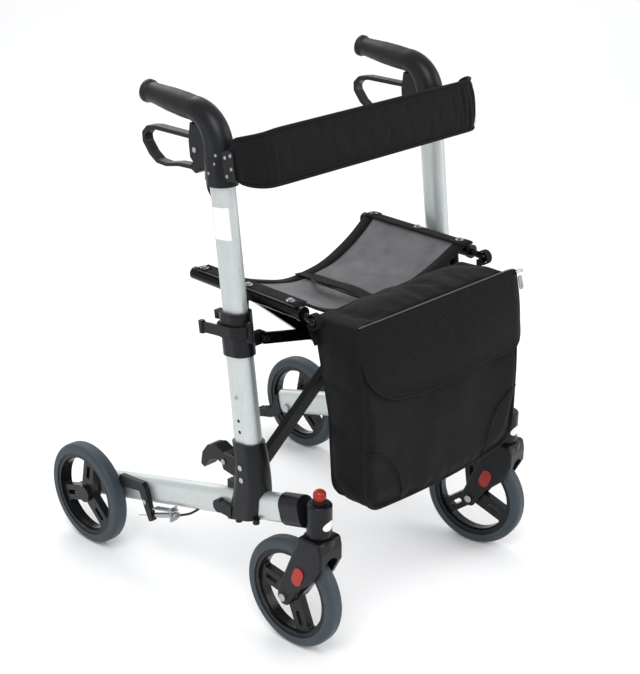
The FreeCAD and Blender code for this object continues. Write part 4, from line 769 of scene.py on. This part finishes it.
def bagPoint(u, w, v):
    # u across from right to left, w up, v from back to front, each 0 to 1
    shape = bagShape
    x = shape["right"] + (shape["left"] - shape["right"]) * u
    z = shape["bottom"] + (shape["top"] - shape["bottom"]) * w
    r = shape["sideCorner"]
    for edge, sign in ((shape["right"] + r, -1), (shape["left"] - r, 1)):
        out = (x - edge) * sign
        down = shape["bottom"] + r - z
        if out > 0 and down > 0:
            far = max(out, down)
            reach = math.hypot(out, down)
            x = edge + sign * out * far / reach
            z = shape["bottom"] + r - down * far / reach
    t = shape["topCorner"]
    out, over = x - (shape["left"] - t), z - (shape["top"] - t)
    if out > 0 and over > 0:
        far = max(out, over) / math.hypot(out, over)
        x = shape["left"] - t + out * far
        z = shape["top"] - t + over * far
    sag = shape["sag"] * math.cos((u - 0.5) * math.pi) * (1 - w) ** 3
    z -= sag
    front, back = bagFront(z), bagBack(z)
    y = back + (front - back) * v
    lip = shape["lip"] * math.exp(-((1 - w) / 0.05) ** 2) * math.sin(math.pi * min(max(u, 0), 1)) ** 0.3 * v
    return Vector((x, y, z + lip))


# each corner of the flap is its width and its height
flapShape = {"right": -0.205, "left": 0.217, "topCorner": (0.052, 0.044), "top": 0.598, "low": 0.455,
             "cornerRight": (0.115, 0.095), "cornerLeft": (0.052, 0.062), "lineY": -0.345, "gap": 0.0065,
             "bulge": 0.010, "frontMost": -0.383, "thick": 0.0032, "edge": 0.0026, "piping": 0.0012}


def flapLow(x):
    # lower outline: one wide and one tight rounded corner
    shape = flapShape
    for edge, (wide, tall) in ((shape["right"], shape["cornerRight"]), (shape["left"], shape["cornerLeft"])):
        out = wide - abs(x - edge)
        if out > 0:
            return shape["low"] + tall * (1 - math.sqrt(max(0, 1 - (out / wide) ** 2)))
    return shape["low"] + 0.003 * math.sin(x * 21)


def bagRoom(point):
    # how far the cloth may swell: little beneath the flap, more below it and on the other faces
    if point.y > bagFront(point.z) + 0.006:
        return bagShape["swell"]
    below = min(max((flapLow(point.x) - 0.012 - point.z) / 0.05, 0.0), 1.0)
    return bagShape["swellUnderFlap"] + 0.0065 * below


def buildBagBody():
    shape = bagShape
    nu = round((shape["left"] - shape["right"]) / shape["grid"])
    nw = round((shape["top"] - shape["bottom"]) / shape["grid"])
    nv = 11
    mesh = bmesh.new()
    seen = {}

    def corner(i, j, k):
        key = (i, j, k)
        if key not in seen:
            seen[key] = mesh.verts.new(bagPoint(i / nu, j / nw, k / nv))
        return seen[key]

    for i in range(nu):
        for j in range(nw):
            mesh.faces.new([corner(i, j, 0), corner(i, j + 1, 0), corner(i + 1, j + 1, 0), corner(i + 1, j, 0)])
            mesh.faces.new([corner(i, j, nv), corner(i + 1, j, nv), corner(i + 1, j + 1, nv), corner(i, j + 1, nv)])
    for k in range(nv):
        for j in range(nw):
            mesh.faces.new([corner(0, j, k), corner(0, j, k + 1), corner(0, j + 1, k + 1), corner(0, j + 1, k)])
            mesh.faces.new([corner(nu, j, k), corner(nu, j + 1, k), corner(nu, j + 1, k + 1), corner(nu, j, k + 1)])
        for i in range(nu):
            mesh.faces.new([corner(i, 0, k), corner(i + 1, 0, k), corner(i + 1, 0, k + 1), corner(i, 0, k + 1)])
            mesh.faces.new([corner(i, nw, k), corner(i, nw, k + 1), corner(i + 1, nw, k + 1), corner(i + 1, nw, k)])
    seams = {}
    mesh.verts.index_update()
    for (i, j, k), vertex in seen.items():
        rim = i in (0, nu) or j in (0, nw)
        if rim and k in (0, nv):
            seams[vertex.index] = 0.85
        elif j == nw and (i < 4 or i > nu - 4):
            seams[vertex.index] = 1.0
        else:
            seams[vertex.index] = 0.0
    data = bpy.data.meshes.new("bagBody")
    mesh.to_mesh(data)
    mesh.free()
    data.polygons.foreach_set("use_smooth", [True] * len(data.polygons))
    data.materials.append(nylon)
    bag = link(bpy.data.objects.new("bagBody", data))
    crease = random.Random(4)
    folds = [(crease.uniform(0.1, 0.9), crease.uniform(0.05, 0.6), crease.uniform(0.7, 2.3), crease.uniform(9, 17))
             for _ in range(shape["creases"])]
    for vertex in data.vertices:
        p = vertex.co
        depth = 0
        for fx, fz, tilt, width in folds:
            along = (p.x - shape["right"]) / 0.4 - fx
            high = (p.z - shape["bottom"]) / 0.32 - fz
            ridge = along * math.sin(tilt) + high * math.cos(tilt)
            reach = along * math.cos(tilt) - high * math.sin(tilt)
            depth += shape["creaseDeep"] * math.exp(-(ridge * width) ** 2) * math.exp(-(reach * 3.2) ** 2)
        if seams[vertex.index] == 0.0:
            vertex.co.y += depth * (1 if p.y < -0.32 else -0.5)
            vertex.co.x += depth * (1 if p.x < 0 else -1) * 0.7
    puffUp(bag, 1.6, bagRoom, seams, frames=24, shrink=-0.03, stiffness=7)
    fine = bag.modifiers.new("smooth", "SUBSURF")
    fine.levels = 1
    fine.render_levels = 2
    return bag


bagBody = buildBagBody()
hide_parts("bag")
softPiece(bagBody, "bag_body")

def flapPoint(u, t, lift=0.0):
    # u across, t from the top line (0) down to the lower outline (1)
    shape = flapShape
    x = shape["right"] + (shape["left"] - shape["right"]) * u
    low = flapLow(x)
    wide, tall = shape["topCorner"]
    out = max(0.0, x - shape["left"] + wide) / wide
    top = shape["top"] - tall * (1 - math.sqrt(max(0.0, 1 - out ** 2)))
    z = top + (low - top) * t
    bulge = shape["bulge"] * math.sin(math.pi * min(t * 0.9 + 0.05, 1)) * math.sin(math.pi * u) ** 0.5
    beyond = max(0, x - 0.178) ** 2 * 14
    wave = 0.0014 * math.sin(u * 9 + t * 3) * t
    y = min(bagFront(z) - shape["gap"], shape["lineY"]) - bulge * 0.55 - wave - lift + beyond
    return Vector((x, max(y, shape["frontMost"]), z))


def buildFlap():
    nu, nt = 96, 30
    rows = [[flapPoint(u / nu, t / nt) for u in range(nu + 1)] for t in range(nt + 1)]
    flap = sheetSolid("bagFlap", rows, flapShape["thick"], cellCloth)
    layer = flap.data.uv_layers.new(name="cut")
    for polygon in flap.data.polygons:
        for loop in polygon.loop_indices:
            co = flap.data.vertices[flap.data.loops[loop].vertex_index].co
            layer.data[loop].uv = (co.x, co.z)
    pieces = [flap]
    outline = [flapPoint(0, t / 10, 0.0) for t in range(1, 10)]
    outline += [flapPoint(u / 60, 1, 0.0) for u in range(0, 61)]
    outline += [flapPoint(1, 1 - t / 10, 0.0) for t in range(1, 10)]
    pieces.append(cordPiece("flapEdge", outline, flapShape["edge"], bindingTape))
    inner = []
    for u in range(2, 59):
        point = flapPoint(u / 60, 1, 0.0)
        inner.append(flapPoint(u / 60, 1 - 0.009 / max(flapShape["top"] - point.z, 0.02), 0.0022))
    pieces.append(stitchRow("flapStitch", inner, (0, -1, 0), thread))
    return flap, pieces


flap, flapPieces = buildFlap()


hookLoop = {"x": 0.2135, "y": -0.262, "z": 0.5875, "radius": 0.0125, "tail": 0.545, "width": 0.014, "thick": 0.0016}


def edgePoint(u, w, v):
    # a point on the bag's edge, drawn in so that the cord lies half in the cloth
    inner = bagPoint(min(max(u, 0.02), 0.98), max(w, 0.03), min(max(v, 0.06), 0.94))
    point = bagPoint(u, w, v)
    return point + (inner - point).normalized() * bagShape["seamSunk"]


def buildBagTrim():
    pieces = []
    shape = bagShape
    line = [flapPoint(u / 40, 0.0, 0.002) + Vector((0, 0, 0.0015)) for u in range(0, 40)]
    pieces.append(cordPiece("flapPiping", line, flapShape["piping"], pipingGrey))
    for side, u in (("right", 0.0), ("left", 1.0)):  # seam cords up the front edges
        seam = [edgePoint(u, w / 30, 1.0) for w in range(0, 30)]
        pieces.append(cordPiece("frontSeam_" + side, seam, shape["seam"], bindingTape))
        rear = [edgePoint(u, w / 30, 0.0) for w in range(0, 30)]
        pieces.append(cordPiece("rearSeam_" + side, rear, shape["rearSeam"], bindingTape))
    for key, v in (("front", 1.0), ("rear", 0.0)):
        seam = [edgePoint(u / 50, 0, v) for u in range(51)]
        pieces.append(cordPiece("bottomSeam_" + key, seam, shape["seam"], bindingTape))
    # quarter-round corner patches, outlined by a raised seam
    for side, sign, edge in (("right", 1, shape["right"]), ("left", -1, shape["left"])):
        arc = []
        for k in range(19):
            a = math.pi / 2 * k / 18
            x = edge + sign * shape["patchWide"] * math.sin(a) + sign * 0.002
            u = (x - shape["right"]) / (shape["left"] - shape["right"])
            w = 0.015 + shape["patchTall"] * math.cos(a)
            arc.append(bagPoint(u, w, 1.0) + Vector((0, -0.0085 if 1 < k < 17 else -0.004, 0)))
        pieces.append(cordPiece("patchSeam_" + side, arc, shape["patchSeam"], bindingTape))
    # loops of webbing that hang on the rail hooks
    hook = hookLoop
    for side, sign in sides:
        x = sign * hook["x"]
        points = []
        for k in range(15):
            a = math.radians(-60 + 300 * k / 14)
            turn = Vector((0, -math.sin(a), math.cos(a)))
            points.append(Vector((x, hook["y"], hook["z"])) + turn * hook["radius"])
        points.append(Vector((x - sign * 0.008, hook["y"], hook["tail"])))
        across = [(1, 0, 0)] * len(points)
        pieces.append(strapPiece("hookLoop_" + side, points, across, hook["width"], hook["thick"], webbing))
    return pieces


bagTrim = buildBagTrim()
for piece in flapPieces + bagTrim:
    softPiece(piece, "bag_body")


pullerShape = {"size": (0.0095, 0.027, 0.0016), "corner": 0.0042, "hole": (0.0024, 0.0070), "drop": 0.017,
               "slider": 0.0032, "sliderLine": ((-0.009, 0), (-0.003, 0.0015), (0.003, 0.0015), (0.009, 0))}


def buildPuller():
    # slider body and tab of the zip, at the left end of the flap line
    shape = pullerShape
    spot = flapPoint(0.955, 0.02, 0.004)
    hang = Vector((0.22, -0.10, -1)).normalized()
    across = Vector((1, 0, 0.22)).normalized()
    middle = spot + hang * shape["drop"] + Vector((0, -0.0045, 0))
    tab = platePiece("zipPuller", middle, across, hang, shape["size"], shape["corner"], zinc, hole=shape["hole"])
    line = [spot + Vector((along, -0.003, 0.003 + up)) for along, up in shape["sliderLine"]]
    return [tab, cordPiece("zipSlider", line, shape["slider"], zinc)]


for piece in buildPuller():
    softPiece(piece, "bag_body")
print("bag made")


# blank label round the right post and blank oval plates on the caster heads
labelShape = {"lean": 7.03, "footY": -0.1917, "postHalf": 0.01525, "postFlat": 0.00825, "proud": 0.0005,
              "low": 0.704, "tall": 0.053, "from": -0.0215, "wide": 0.034}


def buildLabel():
    # wraps the outer face of the flat oval post
    shape = labelShape
    lean = math.radians(shape["lean"])
    foot = Vector((-postX, shape["footY"], 0))
    along = Vector((0, math.sin(lean), math.cos(lean)))
    aft = Vector((0, math.cos(lean), -math.sin(lean)))
    halfWide, halfStraight, proud = shape["postHalf"], shape["postFlat"], shape["proud"]
    rows = []
    for k in range(13):
        height = shape["low"] + shape["tall"] * k / 12
        row = []
        for c in range(25):
            reach = shape["from"] + shape["wide"] * c / 24
            if abs(reach) <= halfStraight:
                deep, wide = reach, halfWide + proud
            else:
                a = (abs(reach) - halfStraight) / halfWide
                deep = math.copysign(halfStraight + (halfWide + proud) * math.sin(a), reach)
                wide = (halfWide + proud) * math.cos(a)
            point = foot + along * height + aft * deep + Vector((-wide, 0, 0))
            row.append(point)
        rows.append(row)
    label = gridPiece("postLabel", rows, whiteFilm)
    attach(label, "handle_right")
    return label


headPlateShape = {"x": 0.247, "y": -0.310, "z": 0.256, "radius": 0.0217, "halfWide": 0.0135, "halfTall": 0.0085,
                  "skew": 0.0025, "turn": 6}


def buildHeadPlates():
    # an oval lying on the round front of each caster head
    shape = headPlateShape
    radius = shape["radius"]
    plates = []
    for side, sign in sides:
        centre = Vector((sign * shape["x"], shape["y"], shape["z"]))
        rings = []
        for r in range(7):
            ring = []
            for k in range(32):
                a = 2 * math.pi * k / 32
                acrossArc = shape["halfWide"] * (r / 6) * math.cos(a) + shape["skew"] * (r / 6) * math.sin(a)
                turn = -math.pi / 2 + math.radians(shape["turn"]) + acrossArc / radius
                ring.append(centre + Vector((radius * math.cos(turn), radius * math.sin(turn),
                                             shape["halfTall"] * (r / 6) * math.sin(a))))
            rings.append(ring)
        plate = gridPiece("headPlate_" + side, rings, whiteFilm, closeCols=True)
        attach(plate, "side_frame_" + side)
        plates.append(plate)
    return plates


for piece in [buildLabel()] + buildHeadPlates():
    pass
print("labels made")

# floor, light and camera
# each light gives its name, place, size and power
studio = {"floor": (0.93, 0.93, 0.93), "world": (0.97, 0.98, 1.0), "worldStrength": 0.82, "reach": 6.0,
          "lights": (("keyLight", (-1.6, -1.2, 2.6), 1.6, 42), ("fillLight", (1.9, -2.0, 1.6), 1.8, 24),
                     ("backLight", (0.6, 2.2, 2.4), 1.6, 30))}


def buildStudio():
    material, tree, shader = newMaterial("paleFloor", studio["floor"], 0.7)
    reach = studio["reach"]
    bend = []
    for k in range(13):
        a = math.radians(90 * k / 12)
        bend.append((2.6 + 1.2 * math.sin(a), 1.2 - 1.2 * math.cos(a)))
    profile = [(-reach, 0.0)] + bend + [(3.8, 5.0)]
    back = Vector((0.717, 0.697, 0))
    side = Vector((0.697, -0.717, 0))
    rows = [[back * run + side * w + Vector((0, 0, up - 0.0005)) for w in (-reach, 0, reach)] for run, up in profile]
    floor = gridPiece("studioFloor", rows, material)
    world = bpy.data.worlds.new("studioSky")
    world.use_nodes = True
    sky = world.node_tree.nodes["Background"]
    sky.inputs["Color"].default_value = (*studio["world"], 1)
    sky.inputs["Strength"].default_value = studio["worldStrength"]
    bpy.context.scene.world = world
    for name, spot, size, power in studio["lights"]:
        lamp = bpy.data.lights.new(name, "AREA")
        lamp.shape = "SQUARE"
        lamp.size = size
        lamp.energy = power
        obj = link(bpy.data.objects.new(name, lamp))
        obj.location = spot
        aim = Vector((0, 0, 0.45)) - Vector(spot)
        obj.rotation_euler = aim.to_track_quat("-Z", "Y").to_euler()


# the lens is in mm, for a sensor of 36 mm along the taller side of the frame
view = {"place": (-1.7655, -1.7934, 1.4908), "yaw": -45.8, "pitch": -23.5, "roll": 0.6, "lens": 79.4510,
        "shift": (-0.0061, 0.0156)}


def buildCamera():
    yaw, pitch, roll = (math.radians(view[key]) for key in ("yaw", "pitch", "roll"))
    ahead = Vector((-math.sin(yaw) * math.cos(pitch), math.cos(yaw) * math.cos(pitch), math.sin(pitch)))
    right = ahead.cross(Vector((0, 0, 1))).normalized()
    up = right.cross(ahead)
    rightTurned = right * math.cos(roll) + up * math.sin(roll)
    upTurned = up * math.cos(roll) - right * math.sin(roll)
    data = bpy.data.cameras.new("camera")
    data.sensor_width = 36
    data.lens = view["lens"]
    data.shift_x, data.shift_y = view["shift"]
    camera = link(bpy.data.objects.new("camera", data))
    turn = Matrix((rightTurned, upTurned, -ahead)).transposed().to_4x4()
    camera.matrix_world = Matrix.Translation(view["place"]) @ turn
    bpy.context.scene.camera = camera


buildStudio()
buildCamera()
bpy.context.scene.view_settings.view_transform = "Standard"
print("studio made")
